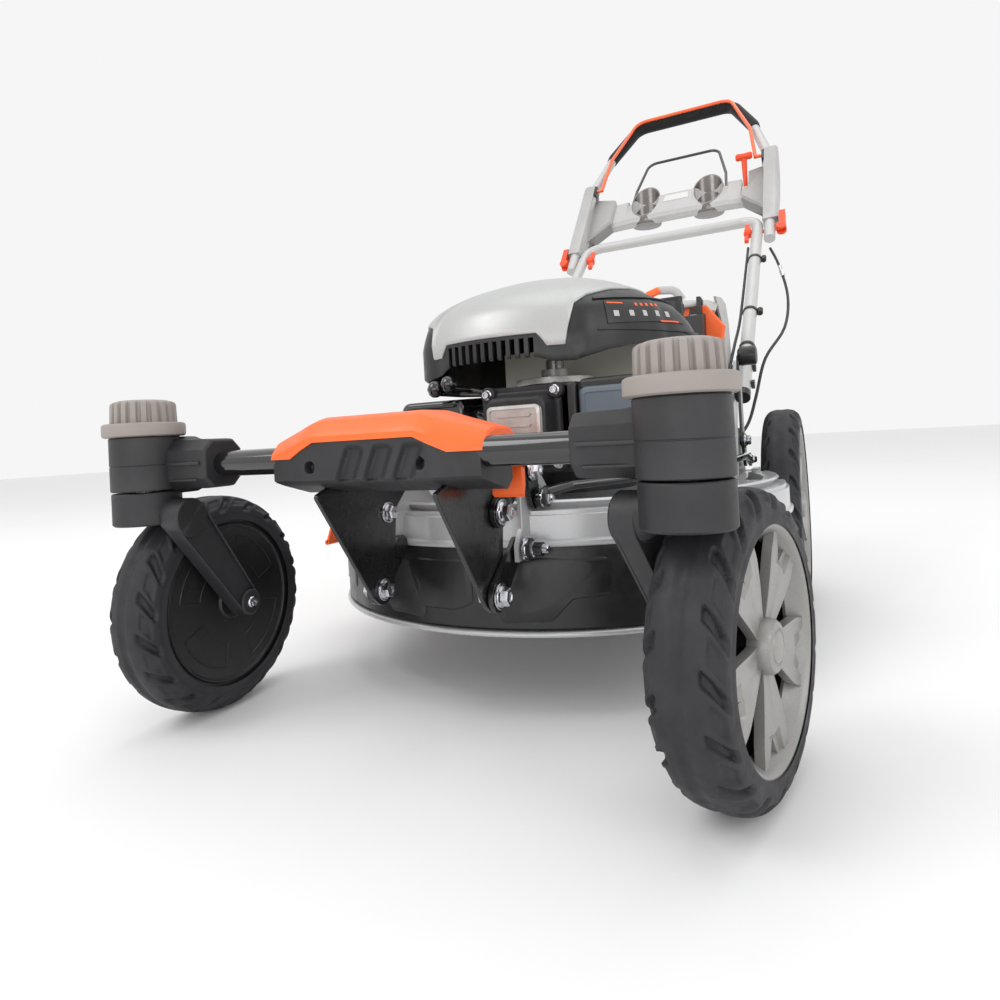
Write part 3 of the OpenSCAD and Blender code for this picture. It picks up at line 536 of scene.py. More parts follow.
def bolt_x(x, y, z, way, across=9.0, height=7.0, washer=0.0, dome=1.2, stud=0.0, n=6):
    """A hexagon flange bolt on a face at x, pointing along way (+1 or -1)."""
    parts = []
    start = 0.0
    if washer:
        parts.append(lathe([(0.1, 0), (washer, 0), (washer, 1.2), (washer - 0.5, 1.6), (0.1, 1.6)],
                           (x, y, z), loop=False))
        start = 1.6
    parts.append(lathe([(0.1, start), (across * 1.12, start), (across * 1.1, start + 0.8),
                        (across * 0.9, start + 1.8), (0.1, start + 1.8)], (x, y, z), loop=False, n=36))
    hexagon = [(across * 0.92, start + 1.2), (across * 0.92, start + height - 1.2),
               (across * 0.8, start + height), (across * 0.5, start + height),
               (across * 0.44, start + height - dome), (0.1, start + height - dome)]
    rings = []
    for r, a in hexagon:
        rings.append([(a, r * math.cos(math.pi / 3 * k + 0.2), r * math.sin(math.pi / 3 * k + 0.2))
                      for k in range(n)])
    parts.append(shifted(lofted(rings), x, y, z))
    if stud:
        profile = [(0.1, start)]
        a = start + height - 1
        while a < start + height + stud:
            profile += [(3.6, a), (4.1, a + 0.35), (3.6, a + 0.7)]
            a += 1.0
        profile += [(3.0, a + 0.4), (0.1, a + 0.4)]
        parts.append(lathe(profile, (x, y, z), loop=False, n=24))
    if way < 0:
        parts = [moved(p, turned("Z", 180, (x, y, z))) for p in parts]
    return parts


# ---------------------------------------------------------------- wheels

def front_frame(side):
    """From a front wheel's own layout (x outwards from the tyre's inner face, y and z about the axle)."""
    local = np.array([[1, 0, 0, -FRONT_W / 2], [0, 1, 0, TRAIL], [0, 0, 1, FRONT_R], [0, 0, 0, 1.0]])
    return caster_frame(side) @ local


def caster_frame(side):
    """From a caster's own layout, x outwards and z up about its swivel axis."""
    spin = np.array(Matrix.Rotation(math.radians(SWIVEL[side]), 4, "Z"))
    place = np.eye(4)
    place[0, 3] = side * CASTER_X
    return place @ spin @ np.diag([side, 1, 1, 1.0])


def rear_frame(side):
    return np.array([[side, 0, 0, side * (REAR_X - REAR_W / 2)], [0, 1, 0, REAR_Y], [0, 0, 1, REAR_R],
                     [0, 0, 0, 1.0]])


def tyre(r, seat, w, lugs):
    """A tyre with a ribbed middle and curved shoulder lugs, made by lowering a smooth cross-section."""
    m, per = 72, 26
    n = lugs * per
    phi = np.linspace(-math.pi / 2, math.pi / 2, m)
    low = r - 24
    x = w / 2 * np.sign(np.sin(phi)) * np.abs(np.sin(phi)) ** 0.62
    y = low + (r - low) * np.abs(np.cos(phi)) ** 0.5
    y = y - 1.6 * (x / (w / 2)) ** 2 * (y > low + 4)
    nx, ny = np.gradient(y), -np.gradient(x)
    size = np.hypot(nx, ny)
    nx, ny = -nx / size, -ny / size
    theta = np.arange(n) * 2 * math.pi / n
    a = np.abs(x) / (w / 2)
    a2, t2 = np.meshgrid(a, theta, indexing="ij")
    x2 = np.repeat(x[:, None], n, 1)
    y2 = np.repeat(y[:, None], n, 1)
    across = (np.arange(m) / (m - 1) - 0.5) * 2
    s2 = np.repeat(np.abs(across)[:, None], n, 1)
    phase = lugs * t2 / (2 * math.pi) + 0.5 * (x2 > 0) - 0.75 * s2 ** 1.5
    f = phase % 1.0
    gap = ease(f, 0.02, 0.07) * (1 - ease(f, 0.26, 0.34))
    reach = ease(s2, 0.20, 0.28) * (1 - ease(s2, 0.78, 0.90))
    lower = 4.6 * gap * reach
    pocket = ease(f, 0.42, 0.50) * (1 - ease(f, 0.84, 0.92)) * ease(s2, 0.34, 0.42) * (1 - ease(s2, 0.66,
        0.76))
    lower += 1.8 * pocket
    lower += 1.6 * ease(np.abs(x2), 1.9, 2.5) * (1 - ease(np.abs(x2), 3.6, 4.4)) * (s2 < 0.5)
    lower += 0.5 * ease(s2, 0.93, 0.945) * (1 - ease(s2, 0.955, 0.97))
    px = x2 - nx[:, None] * lower * np.sign(1) + w / 2
    py = y2 - ny[:, None] * lower
    rows = np.stack([px, py * np.cos(t2), py * np.sin(t2)], 2)
    extra = []
    for radius, along in ((seat + 3, w - 1.5), (seat, w - 3), (seat, 3), (seat + 3, 1.5)):
        extra.append(np.stack([np.full(n, along), radius * np.cos(theta), radius * np.sin(theta)], 1))
    rings = list(rows) + extra + [rows[0]]
    return lofted(rings, caps=False)


def petal(first, last, middle, half, top, thick, swirl, step):
    """A curved spoke between two radii about the wheel's axis, with raised edges."""
    us, vs = np.linspace(0, 1, 26), np.linspace(-1, 1, 15)
    outer, inner = [], []
    for u in us:
        r = first + (last - first) * u
        wide = half * (0.36 + 0.78 * math.sin(min(1.0, u * 1.28) * math.pi / 2) ** 1.2 - 0.30 * ease(u,
            0.74, 1.0))
        row_o, row_i = [], []
        for v in vs:
            bend = swirl * math.sin(u * math.pi * 0.62)
            angle = middle + (bend + v * wide) / r
            high = top - 3.4 * (1 - u) ** 2 - 0.9 * (1 - v * v) + 0.5 * ease(abs(v), 0.82, 0.95)
            high -= step * ease(u, 0.70, 0.73) * (v * swirl > 0.1)
            edge = 1.0 * ease(abs(v), 0.9, 1.0)
            row_o.append((high - edge, r * math.cos(angle), r * math.sin(angle)))
            row_i.append((high - thick, r * math.cos(angle), r * math.sin(angle)))
        outer.append(row_o)
        inner.append(row_i)
    return sheet_solid(outer, inner)


def wheel_cover(r, w):
    """A silver cover of ten curved spokes in five pairs, with a rim lip and a domed hub."""
    parts = [lathe([(r, w - 6), (r, w - 2.2), (r - 0.8, w - 1.2), (r - 3.4, w - 1.0), (r - 4.6, w - 1.8),
                    (r - 6.4, w - 5),
                    (r - 9.6, w - 12), (r - 12.5, w - 15), (r - 12.5, w - 17), (r - 7, w - 12),
                    (r - 4, w - 6)], (0, 0, 0), n=120)]
    hub = 17.5
    for i in range(5):
        for sign in (-1, 1):
            middle = math.radians(72 * i + 18 * sign + 90)
            parts.append(petal(hub - 4, r - 6.0, middle, 9.6 * r / 80, w - 5.0, 7.5, 7.0 * sign * r / 80,
                               2.4))
    parts.append(lathe([(0.1, w + 0.6), (6, w + 0.4), (9.6, w - 0.3), (10.4, w - 1.2), (11.2, w - 1.2),
                        (12, w - 0.4),
                        (15.5, w - 1.2), (hub, w - 3.6), (hub + 0.6, w - 9), (hub, w - 15), (0.1, w - 15)],
                       (0, 0, 0), loop=False))
    return parts


def disc_web(seat, w, face):
    """The black wheel body: barrel, web with raised ribs towards the fork, and hub sleeve."""
    parts = [lathe([(6.4, 0.6), (15, 0.6), (16, 1.4), (16.6, face), (30, face - 0.6), (seat - 12, face),
                    (seat - 10.6, face - 1.4), (seat - 9.4, face - 1.4),
                    (seat - 8.2, face + 0.2), (seat - 3, face - 0.2), (seat - 0.8, face + 0.6),
                    (seat - 0.1, 3.2), (seat - 0.1, w - 3.2), (seat - 4, w - 3.2),
                    (seat - 4, face + 5), (15, face + 5), (15, w - 8), (6.4, w - 8)], (0, 0, 0), n=120)]
    for i in range(4):
        a0, a1 = math.radians(90 * i + 22), math.radians(90 * i + 80)
        r0, r1 = seat * 0.47, seat * 0.74
        loop = [(r1, a0 + (a1 - a0) * t) for t in np.linspace(0, 1, 26)] + [(r0, a1 - (a1 - a0) * t)
            for t in np.linspace(0, 1, 18)]
        path = [(face - 0.2, r * math.cos(a), r * math.sin(a)) for r, a in loop]
        path.append(path[0])
        path.append(path[1])
        parts.append(sweep(path, 0.95, 6, caps=True, up=(1, 0, 0)))
        b0, b1 = math.radians(90 * i + 60), math.radians(90 * i + 130)
        arc = [(face + 0.1, seat * 0.86 * math.cos(a), seat * 0.86 * math.sin(a)) for a in np.linspace(b0,
            b1, 24)]
        parts.append(sweep(arc, 0.8, 6, up=(1, 0, 0)))
    return parts


for side, word in SIDES:
    to_wheel = front_frame(side)
    body = "front_wheel_" + word
    piece("tread_front_" + word, [moved(tyre(FRONT_R, FRONT_R - 18, FRONT_W, 18), to_wheel)], body,
          "rubber",
          "front_tyre_" + word, sharp=60)
    piece("cover_front_" + word, [moved(p, to_wheel) for p in wheel_cover(FRONT_R - 21.6, FRONT_W)], body,
          "cover",
          "front_cover_" + word, sharp=34)
    piece("disc_front_" + word, [moved(p, to_wheel) for p in disc_web(FRONT_R - 18, FRONT_W, 3.0)], body,
          "black_fine",
          "front_rim_" + word, sharp=34)
    to_wheel = rear_frame(side)
    body = "rear_wheel_" + word
    piece("tread_rear_" + word, [moved(tyre(REAR_R, REAR_R - 20, REAR_W, 22), to_wheel)], body, "rubber",
          "rear_tyre_" + word, sharp=60)
    piece("cover_rear_" + word, [moved(p, to_wheel) for p in wheel_cover(REAR_R - 23.8, REAR_W)], body,
          "cover",
          "rear_cover_" + word, sharp=34)
    keep_cad("rear_rim_" + word, "black_fine")


# ---------------------------------------------------------------- casters

def caster_fork(side):
    inner = -FRONT_W / 2
    top, axle = (5.0, 190.0), (TRAIL, FRONT_R)
    outline = capsule(top, axle, 17, 12, 22)
    rim = capsule(top, axle, 15.2, 10.4, 22)
    hub = lathe([(0.1, 185.4), (26.6, 185.4), (28, 186.8), (28, 212.6), (27.2, 213.6), (0.1, 213.6)],
                (0, 0, 0), "z", n=96, loop=False)
    arm = [prism(outline, inner - 18.4, inner - 4.4)]
    edge = lofted([[(inner - 18.2, y, z) for y, z in outline], [(inner - 21.0, y, z) for y, z in outline],
                   [(inner - 21.0, y, z) for y, z in rim], [(inner - 18.2, y, z) for y, z in rim],
                   [(inner - 18.2, y, z) for y, z in outline]], caps=False)
    arm.append(edge)
    arm.append(lathe([(0.1, inner - 22.2), (15.6, inner - 22.2), (16.8, inner - 21.2), (17, inner - 18),
                      (0.1, inner - 18)], (0, top[0], top[1]), loop=False))
    arm.append(lathe([(0.1, inner - 21.8), (5.4, inner - 21.8), (7.6, inner - 22.4), (10.8, inner - 22.4),
                      (12.2, inner - 21), (12.6, inner - 4.2), (0.1, inner - 4.2)], (0, axle[0], axle[1]),
                     loop=False))
    knee = [[(x, top[0] + r * math.cos(t) * 1.0, top[1] + dz + r * math.sin(t)) for t in np.linspace(0,
        2 * math.pi, 36, endpoint=False)]
            for x, r, dz in ((inner - 19, 16.9, 0), (inner - 8, 16.9, 0), (inner + 0, 16.2, 3),
                             (inner + 8, 14.0, 7.5), (-9, 12, 11))]
    neck = lofted(knee)
    return hub, arm, neck


for side, word in SIDES:
    to_caster = caster_frame(side)
    hub, arm, neck = caster_fork(side)
    clear = moved(lathe([(0.1, -FRONT_W / 2 - 2.2), (FRONT_R + 2.6, -FRONT_W / 2 - 2.2),
                         (FRONT_R + 2.6, 60), (0.1, 60)],
                        (0, TRAIL, FRONT_R), n=160, loop=False), to_caster)
    body = "caster_" + word
    made = piece("fork_hub_" + word, [moved(hub, to_caster)], body, "black",
                 "caster_fork_" + word, bevel=0.8)
    carved(made, clear)
    made = piece("fork_neck_" + word, [moved(neck, to_caster)], body, "black", bevel=0.8)
    carved(made, clear)
    piece("fork_arm_" + word, [moved(p, to_caster) for p in arm], body, "black", bevel=0.7,
          angle=40)
    bolt = bolt_x(-FRONT_W / 2 - 21.6, TRAIL, FRONT_R, -1, across=4.6, height=4.6, dome=1.8)
    axle = lathe([(0.1, -30), (5.6, -30), (5.6, 17), (4.6, 18), (0.1, 18)], (0, TRAIL, FRONT_R), n=32,
                 loop=False)
    piece("fork_axle_" + word, [moved(p, to_caster) for p in bolt + [axle]], body, "zinc", sharp=30)
    spindle = lathe([(0.1, 213), (8.9, 213), (8.9, 248.5), (12.8, 248.5), (12.8, 253), (0.1, 253)],
                    (side * CASTER_X, 0, 0), "z", n=40, loop=False)
    piece("fork_spindle_" + word, [spindle], body, "steel", sharp=30)


def knob(side):
    """A ribbed knob on a flat collar."""
    n = 480
    turn = np.arange(n) * 2 * math.pi / n
    wave = np.abs(((turn * 20 / (2 * math.pi)) % 1.0) - 0.5) * 2
    rib = ease(wave, 0.28, 0.5)
    rings = []
    for z, r, share in ((273.6, 26.2, 0), (274.2, 26.2, 1), (289.5, 25.6, 1), (291.6, 25.2, 0.9),
                        (292.8, 24.2, 0.45), (293.2, 23.2, 0)):
        radius = r - 2.0 + 2.6 * rib * share + 0.9 * (1 - share)
        rings.append(np.stack([side * CASTER_X + radius * np.cos(turn), radius * np.sin(turn),
                               np.full(n, z)], 1))
    for r, z in ((20, 294.0), (10, 294.0)):
        rings.append(np.stack([side * CASTER_X + r * np.cos(turn), r * np.sin(turn), np.full(n, z)], 1))
    collar = lathe([(13.9, 256.6), (13.9, 262), (31.6, 262.2), (33.2, 263.2), (33.5, 264.6), (33.5, 271.6),
                    (33.0, 273.2), (31.6, 274),
                    (26, 274), (0.1, 274), (0.1, 256.6)], (side * CASTER_X, 0, 0), "z", n=120, loop=False)
    return [lofted(rings), collar]


for side, word in SIDES:
    piece("knob_" + word, knob(side), "knob_" + word, "knob", "lock_knob_" + word, sharp=32)


def housing(side):
    """The caster housing, with its parting grooves, and the eight-sided clamp over the cross tube."""
    barrel = lathe([(9.06, 215), (27.4, 215), (28.5, 215.8), (28.5, 236.4), (28.1, 236.8), (28.1, 237.3),
                    (28.5, 237.7), (28.5, 260.8), (27.8, 261.8),
                    (14, 261.8), (14, 248), (9.06, 248)], (side * CASTER_X, 0, 0), "z", n=120)
    ring = []
    for x, r in ((163, 18.6), (164.6, 20.4), (171, 21.2), (196, 21.4), (206, 22.6), (214, 25.0),
                 (221, 25.6)):
        cut = r * 0.58
        ring.append([(x, TUBE_Y + y, TUBE_Z + 1 + z) for y, z in ((-cut, r), (cut, r), (r, cut), (r, -cut),
            (cut, -r), (-cut, -r), (-r, -cut), (-r, cut))])
    clamp = lofted(ring)
    fin = block(168, 220, TUBE_Y - 23.4, TUBE_Y - 16, TUBE_Z + 0.2, TUBE_Z + 3.2)
    fin_low = block(172, 220, TUBE_Y - 22.6, TUBE_Y - 16, TUBE_Z - 13.5, TUBE_Z - 11.4)
    parts = [clamp, fin, fin_low]
    if side < 0:
        parts = [flipped(p) for p in parts]
    return [barrel], parts


for side, word in SIDES:
    barrel, clamp = housing(side)
    names = ("swivel_housings",) if side < 0 else ()
    piece("housing_" + word, barrel, "carriage", "black", names, sharp=30)
    piece("clamp_" + word, clamp, "carriage", "black", bevel=0.9, angle=25)

piece("cross_bar", [lathe([(TUBE_R, -206), (TUBE_R, 206), (TUBE_R - 2, 206), (TUBE_R - 2, -206)],
                          (0, TUBE_Y, TUBE_Z), n=64)],
      "carriage", "gloss", "cross_tube", sharp=40)


# ---------------------------------------------------------------- bumper

def end_fade(x, a=60.0, b=98.0):
    return ease(abs(x), a, b)


def bumper_front(x):
    return 2.0 + 9.0 * max(0.0, (abs(x) - 58) / 40)


def bumper_top(x):
    return 267.5 - 5.0 * ease(abs(x), 44, 66) - 10.5 * max(0.0, (abs(x) - 62) / 36)


def bumper_split(x):
    return 248.0 - 12.0 * np.clip((abs(x) - 46) / 26, 0, 1)


def bumper_cover():
    rings = []
    stations = sorted(set(list(np.linspace(-98, 98, 41)) + [-72, -46, 46, 72, -97, 97]))
    for x in stations:
        f, t, s = bumper_front(x), bumper_top(x), float(bumper_split(x))
        end = 1.4 if abs(x) > 97.5 else 0.0
        f += end
        t -= end
        rings.append([(x, y, z) for y, z in (
            (f, s), (f, t - 15), (f + 2, t - 11), (f + 9, t - 3.4), (f + 13, t - 1.6), (f + 19, t), (50, t),
                                             (56, t - 1), (68, t - 8), (71, t - 11),
            (78, t - 26), (79, t - 30), (79, 236.5), (73, 236.5), (46, 236.5), (33, 236.5),
                                             (32, 248 if abs(x) < 46 else max(s, 236.5)),
                                             (18, max(s, 236.5)))])
    lip = []
    for side in (-1, 1):
        lip.append([[(x, 72, 238), (x, 79, 238), (x, 79, 204 + 3 * (x in (71, 97))), (x, 76, 197.5),
                     (x, 73, 200)] for x in (71, 74, 94, 97)])
    return [lofted(rings), lofted(lip[0]), flipped(lofted(lip[1]))]


piece("bumper_cover", bumper_cover(), "carriage", "orange", "bumper_shell", bevel=1.2,
      angle=22, segments=3)


def bumper_face():
    """The black lower front: slanted scoops between ribs, and two screw holes, as one lowered surface."""
    xs = np.linspace(-95, 95, 191)
    rows = []
    for x in xs:
        f, s = bumper_front(x) + 1.2, float(bumper_split(x)) - 0.3
        ring = []
        for t in np.linspace(0, 1, 26):
            z = 219.0 + (s - 219.0) * t
            lean = x - 0.42 * (z - 219)
            scoop = 0.0
            for centre in (-28, -2, 24):
                d = lean - centre
                scoop = max(scoop, float(ease(d, 1, 4) * (1 - ease(d, 13, 24))))
            scoop *= float(1 - ease(z, 239, 246)) * float(ease(z, 214, 218))
            hole = 0.0
            for hx in (-50, 50):
                hole = max(hole, float(1 - ease(math.hypot(x - hx, z - 229), 3.9, 4.9)))
            ring.append((x, f + 5.2 * scoop + 7.0 * hole, z))
        ring += [(x, 16, s), (x, 30, s), (x, 31, 236.2), (x, 61, 236.2), (x, 61, 213), (x, 52, 206),
                 (x, f + 12, 214), (x, f + 3, 217)]
        rows.append(ring)
    return lofted(rows)


piece("bumper_face", [bumper_face()], "carriage", "black", "bumper_base", sharp=40)


# ---------------------------------------------------------------- carriage plates, links and bolts

LOW_PIN, UP_PIN = (131.0, 148.0), (142.0, 215.0)
LINK = (50 * math.cos(math.radians(40.5)), 50 * math.sin(math.radians(40.5)))
LOW_CAR = (LOW_PIN[0] - LINK[0], LOW_PIN[1] - LINK[1])
UP_CAR = (UP_PIN[0] - LINK[0], UP_PIN[1] - LINK[1])
CRANK_PIN = (UP_PIN[0] + 8, UP_PIN[1] - 26)
ROD_DROP = (568.0, 197.0)


def soft_outline(points, radius, steps=6):
    """A closed outline with rounded corners; radius is one number or one for each corner."""
    pts = [np.array(p, float) for p in points]
    out = []
    for i, b in enumerate(pts):
        a, c = pts[i - 1], pts[(i + 1) % len(pts)]
        r = radius[i] if hasattr(radius, "__len__") else radius
        u, v = (a - b) / np.linalg.norm(a - b), (c - b) / np.linalg.norm(c - b)
        half = math.acos(max(-1, min(1, float(u @ v)))) / 2
        if r <= 0 or abs(half - math.pi / 2) < 0.02:
            out.append(tuple(b))
            continue
        reach = min(r / math.tan(half), 0.48 * min(np.linalg.norm(a - b), np.linalg.norm(c - b)))
        r = reach * math.tan(half)
        mid = b + (u + v) / np.linalg.norm(u + v) * r / math.sin(half)
        e0, e1 = b + u * reach - mid, b + v * reach - mid
        turn = math.pi - 2 * half
        for k in range(steps + 1):
            t = k / steps
            bend = e0 * math.sin(turn * (1 - t)) + e1 * math.sin(turn * t)
            out.append(tuple(mid + bend / math.sin(turn)))
    return out


plate = soft_outline([(12, 206), (44, 217.6), (118, 206), (118, 182), (109, 110), (93, 99), (79, 110)],
                     [3, 6, 4, 6, 12, 13, 12])
plates = [prism(plate, 53, 57)]
piece("carriage_plate_pair", both(plates), "carriage", "enamel", "carriage_plates",
      bevel=0.7)
for name, look, slot_name in (("lower_links", "enamel", "black_paint"), ("upper_links", "enamel",
    "black_paint")):
    keep_cad(name, look, 0.5)

zinc_parts = []
for y, z in (LOW_CAR, UP_CAR):
    zinc_parts += bolt_x(62.6, y, z, 1, across=8.2, height=7.4, washer=11)
    zinc_parts += bolt_x(52.6, y, z, -1, across=7.4, height=6.4, washer=9.6)
    zinc_parts.append(lathe([(0.1, 50), (4.9, 50), (4.9, 63), (0.1, 63)], (0, y, z), n=24, loop=False))
piece("carriage_bolts", both(zinc_parts), "carriage", "zinc", "link_bolts", sharp=28)
deck_side = bolt_x(70.5, LOW_PIN[0], LOW_PIN[1], 1, across=7.8, height=7, washer=10.6, stud=12)
piece("link_studs_lower", both(deck_side), "lower_link", "zinc", sharp=28)
deck_side = bolt_x(75.2, UP_PIN[0], UP_PIN[1], 1, across=7.6, height=6.4, washer=10)
deck_other = [flipped(p) for p in bolt_x(69.5, UP_PIN[0], UP_PIN[1], 1, across=7.6, height=6.4, washer=10)]
crank_bolt = bolt_x(80.6, CRANK_PIN[0], CRANK_PIN[1], 1, across=5.8, height=5.6, washer=8, stud=2)
piece("link_studs_upper", deck_side + deck_other + crank_bolt, "upper_link", "zinc", sharp=28)
rod_path = rounded([(78, CRANK_PIN[0] + 14, CRANK_PIN[1] + 4), (92, 188, 197), (206.8, 300, 204),
                    (206.8, 520, 204),
                    (206.8, ROD_DROP[0] - 14, ROD_DROP[1] + 2)], 22)
rod = [sweep(rod_path, 4.5, 20)]
for eye, far, x in ((CRANK_PIN, (CRANK_PIN[0] + 16, CRANK_PIN[1] + 5), 78),
                    (ROD_DROP, (ROD_DROP[0] - 16, ROD_DROP[1] + 2.5), 206.2)):
    rod.append(prism(capsule(eye, far, 9, 5, 30), x - 1.9, x + 1.9))
piece("height_link_rod", rod, "link_rod", "gloss", "height_rod", bevel=0.5, angle=40)
lever = [prism(capsule((560, 223), ROD_DROP, 12, 9), 198.2, 201.8), prism(capsule((560, 223), (566, 330),
    11, 8), 197.2, 200.8)]
lever.append(lathe([(0.1, 190), (5.9, 190), (5.9, 206), (0.1, 206)], (0, 560, 223), loop=False))
piece("lever_plate", lever, "lever", "enamel", "height_lever", bevel=0.6)
piece("lever_pin_bolt", bolt_x(202, 560, 223, 1, across=7, height=6, washer=10) + bolt_x(208.4, ROD_DROP[0],
    ROD_DROP[1], 1, across=5.4, height=5, stud=1), "lever", "zinc", sharp=28)
grip = lathe([(0.1, 199), (9, 199), (12.4, 201.4), (13, 204), (12.6, 212), (13, 219), (12, 222), (9, 223),
              (0.1, 223)], (0, 566, 336), loop=False)
piece("lever_grip", [grip], "lever", "black_fine", sharp=40)

# ---------------------------------------------------------------- deck and skirt

def about_crank(r, degrees, z):
    """A point at radius r about the crankshaft; 0 degrees faces the front and positive degrees turn to +X."""
    a = math.radians(degrees)
    return (r * math.sin(a), CRANK_Y - r * math.cos(a), z)


def curved_panel(outline, r0, r1, edge=3.0):
    """A raised panel on the round wall, from an outline of (degrees, z), with slanted edges."""
    outline = soft_outline([(a * 4.6, z) for a, z in outline], 6, 4)
    centre = np.mean(np.array(outline), axis=0)
    rings = []
    for share, r in ((1.0, r0), (1.0, r0 + 0.6 * (r1 - r0)), (0.93, r1)):
        rings.append([about_crank(r, *(lambda p: (p[0] / 4.6,
                                                  p[1]))(centre + (np.array(q) - centre) * share))
                      for q in outline])
    return lofted(rings)


def deck_band():
    """The rolled silver band between the skirt and the deck top."""
    profile = [(DECK_R - 1.5, 146), (DECK_R + 0.8, 148), (DECK_R + 1.2, 151), (DECK_R - 2, 153),
               (DECK_R - 12, 156), (DECK_R - 19, 162),
               (DECK_R - 21, 170), (DECK_R - 19, 178), (DECK_R - 12, 184), (DECK_R - 14, 186),
               (DECK_R - 28, 183), (DECK_R - 30, 160), (DECK_R - 14, 148)]
    rings = [[about_crank(r, a, z) for r, z in profile] for a in np.linspace(-118, 118, 150)]
    return lofted(rings)


def skirt():
    rings = []
    for a in np.linspace(-60, 60, 121):
        rings.append([about_crank(r, a, z) for r, z in (
            (DECK_R - 4.8, 75), (DECK_R - 1, 74), (DECK_R + 0.4, 76), (DECK_R + 0.4, 141),
                                                        (DECK_R - 1.2, 146.6), (DECK_R - 4.8, 147))])
    parts = [lofted(rings)]
    parts.append(curved_panel([(-13.5, 134), (-10, 160 - 24), (2.6, 136), (2.9, 96), (-1.0, 90),
                               (-9.4, 90)], DECK_R - 1, DECK_R + 2.2))
    for way in (-1, 1):
        panel = [(11.7, 134), (16.7, 138), (29.9, 136), (29.8, 104), (22.6, 101), (18.5, 82), (8.2, 80),
                 (9.0, 112)]
        parts.append(curved_panel([(way * a, z) for a, z in panel][::way], DECK_R - 1, DECK_R + 2.0))
    parts.append(curved_panel([(36, 134), (55, 132), (55, 92), (36, 90)], DECK_R - 1, DECK_R + 1.8))
    parts.append(curved_panel([(-55, 134), (-36, 132), (-36, 92), (-55, 90)], DECK_R - 1, DECK_R + 1.8))
    return parts


keep_cad("deck_shell", "deck", 1.2)
piece("deck_band", [deck_band()], "machine", "deck", sharp=50)
piece("skirt", skirt(), "machine", "black_fine", "front_skirt", sharp=34)
lip = [about_crank(DECK_R + 0.6, a, RIM_Z + 2.6) for a in np.linspace(-120, 120, 120)]
piece("deck_lip", [sweep(lip, 2.6, 12, up=(0, 0, 1))], "machine", "deck", sharp=60)


def side_door():
    """The slanted discharge door with a rolled edge, ribs and hinge knuckles, in its closed place."""
    door = slab(soft_outline([(-3.4, 292), (0, 292), (0, 428), (-3.4, 428)], 0.8, 3), -71, 0)
    parts = [door, shifted(lathe([(0.1, 0), (3.6, 0), (3.6, 136), (0.1, 136)], (-1.8, 292, 0), "y", 24,
                                 loop=False), dz=-1)]
    parts.append(shifted(lathe([(0.1, 0), (3.4, 0), (3.4, 136), (0.1, 136)], (-1.9, 292, 0), "y", 24,
                               loop=False), dz=-69))
    for y in (316, 346, 376, 404):
        parts.append(slab(soft_outline([(-5.2, y), (-3, y), (-3, y + 5), (-5.2, y + 5)], 0.8, 3), -62, -9))
    place = turned("Y", 22) @ np.eye(4)
    place[:3, 3] = (-262, 0, 184)
    return [moved(p, place) for p in parts]


piece("discharge_door", side_door(), "flap_side", "orange", "side_flap", bevel=0.4)
piece("door_hinge_pin", [lathe([(0.1, 278), (2.45, 278), (2.45, 442), (0.1, 442)], (-262, 0, 184), "y", 20,
                               loop=False)], "flap_side", "zinc")


# ---------------------------------------------------------------- engine

def pad(x0, x1, y0, y1, z0, z1, r=6.0, draft=2.0, way="y"):
    """A moulded block with rounded corners that narrows a little towards its front."""
    outline = soft_outline([(x0, z0), (x1, z0), (x1, z1), (x0, z1)], r, 6)
    centre = np.array(((x0 + x1) / 2, (z0 + z1) / 2))
    span = np.array(((x1 - x0) / 2, (z1 - z0) / 2))
    rings = []
    for y, inset in ((y1, 0.0), (y0 + 3.0, draft * 0.8), (y0 + 0.9, draft + 0.9), (y0, draft + 3.0)):
        share = (span - inset) / span
        rings.append([(p[0], y, p[1]) for p in (centre + (np.array(q) - centre) * share for q in outline)])
    return lofted(rings)


def frame_bars(x0, x1, z0, z1, y0, y1, w):
    outer = soft_outline([(x0, z0), (x1, z0), (x1, z1), (x0, z1)], 5, 5)
    inner = soft_outline([(x0 + w, z0 + w), (x1 - w, z0 + w), (x1 - w, z1 - w), (x0 + w, z1 - w)], 3.5, 5)
    rings = [[(x, y1, z) for x, z in outer], [(x, y0 + 0.6, z) for x, z in outer], [(x, y0, z) for x,
        z in inner], [(x, y1, z) for x, z in inner]]
    return lofted(rings + [rings[0]], caps=False)


keep_cad("engine_block", "casting", 0.6)
body_cast = [pad(-3, 69, 200.5, 224, 217, 287, 12, 5), pad(-8, 74, 221.4, 226, 212, 291, 14, 0.8)]
COVER_BOLTS = ((-4, 216), (70, 216), (-4, 288), (70, 288))
for x, z in COVER_BOLTS:
    body_cast.append(lathe([(0.1, 218), (7.4, 218), (8, 219), (8, 226), (0.1, 226)], (x, 0, z), "y", 32,
                           loop=False))
piece("valve_cover_body", body_cast, "machine", "casting", "valve_cover", bevel=0.6)
face_cast = [pad(3, 63, 198.6, 203, 224, 276, 7, 0.6), frame_bars(4.5, 61.5, 225.5, 274.5, 197.2, 199.5,
    3.2)]
for z in (234, 244, 254, 264):
    face_cast.append(pad(12, 54, 197.4, 199.4, z, z + 2.6, 1.2, 0.3))
piece("valve_cover_face", face_cast, "machine", "cast", bevel=0.35)
cover_bolts = []
for x, z in COVER_BOLTS:
    cover_bolts += [shifted(moved(p, turned("Z", 90)), x, 217.6, z) for p in bolt_x(0, 0, 0, -1, across=4.6,
        height=5)]
piece("valve_cover_bolts", cover_bolts, "machine", "zinc", sharp=28)

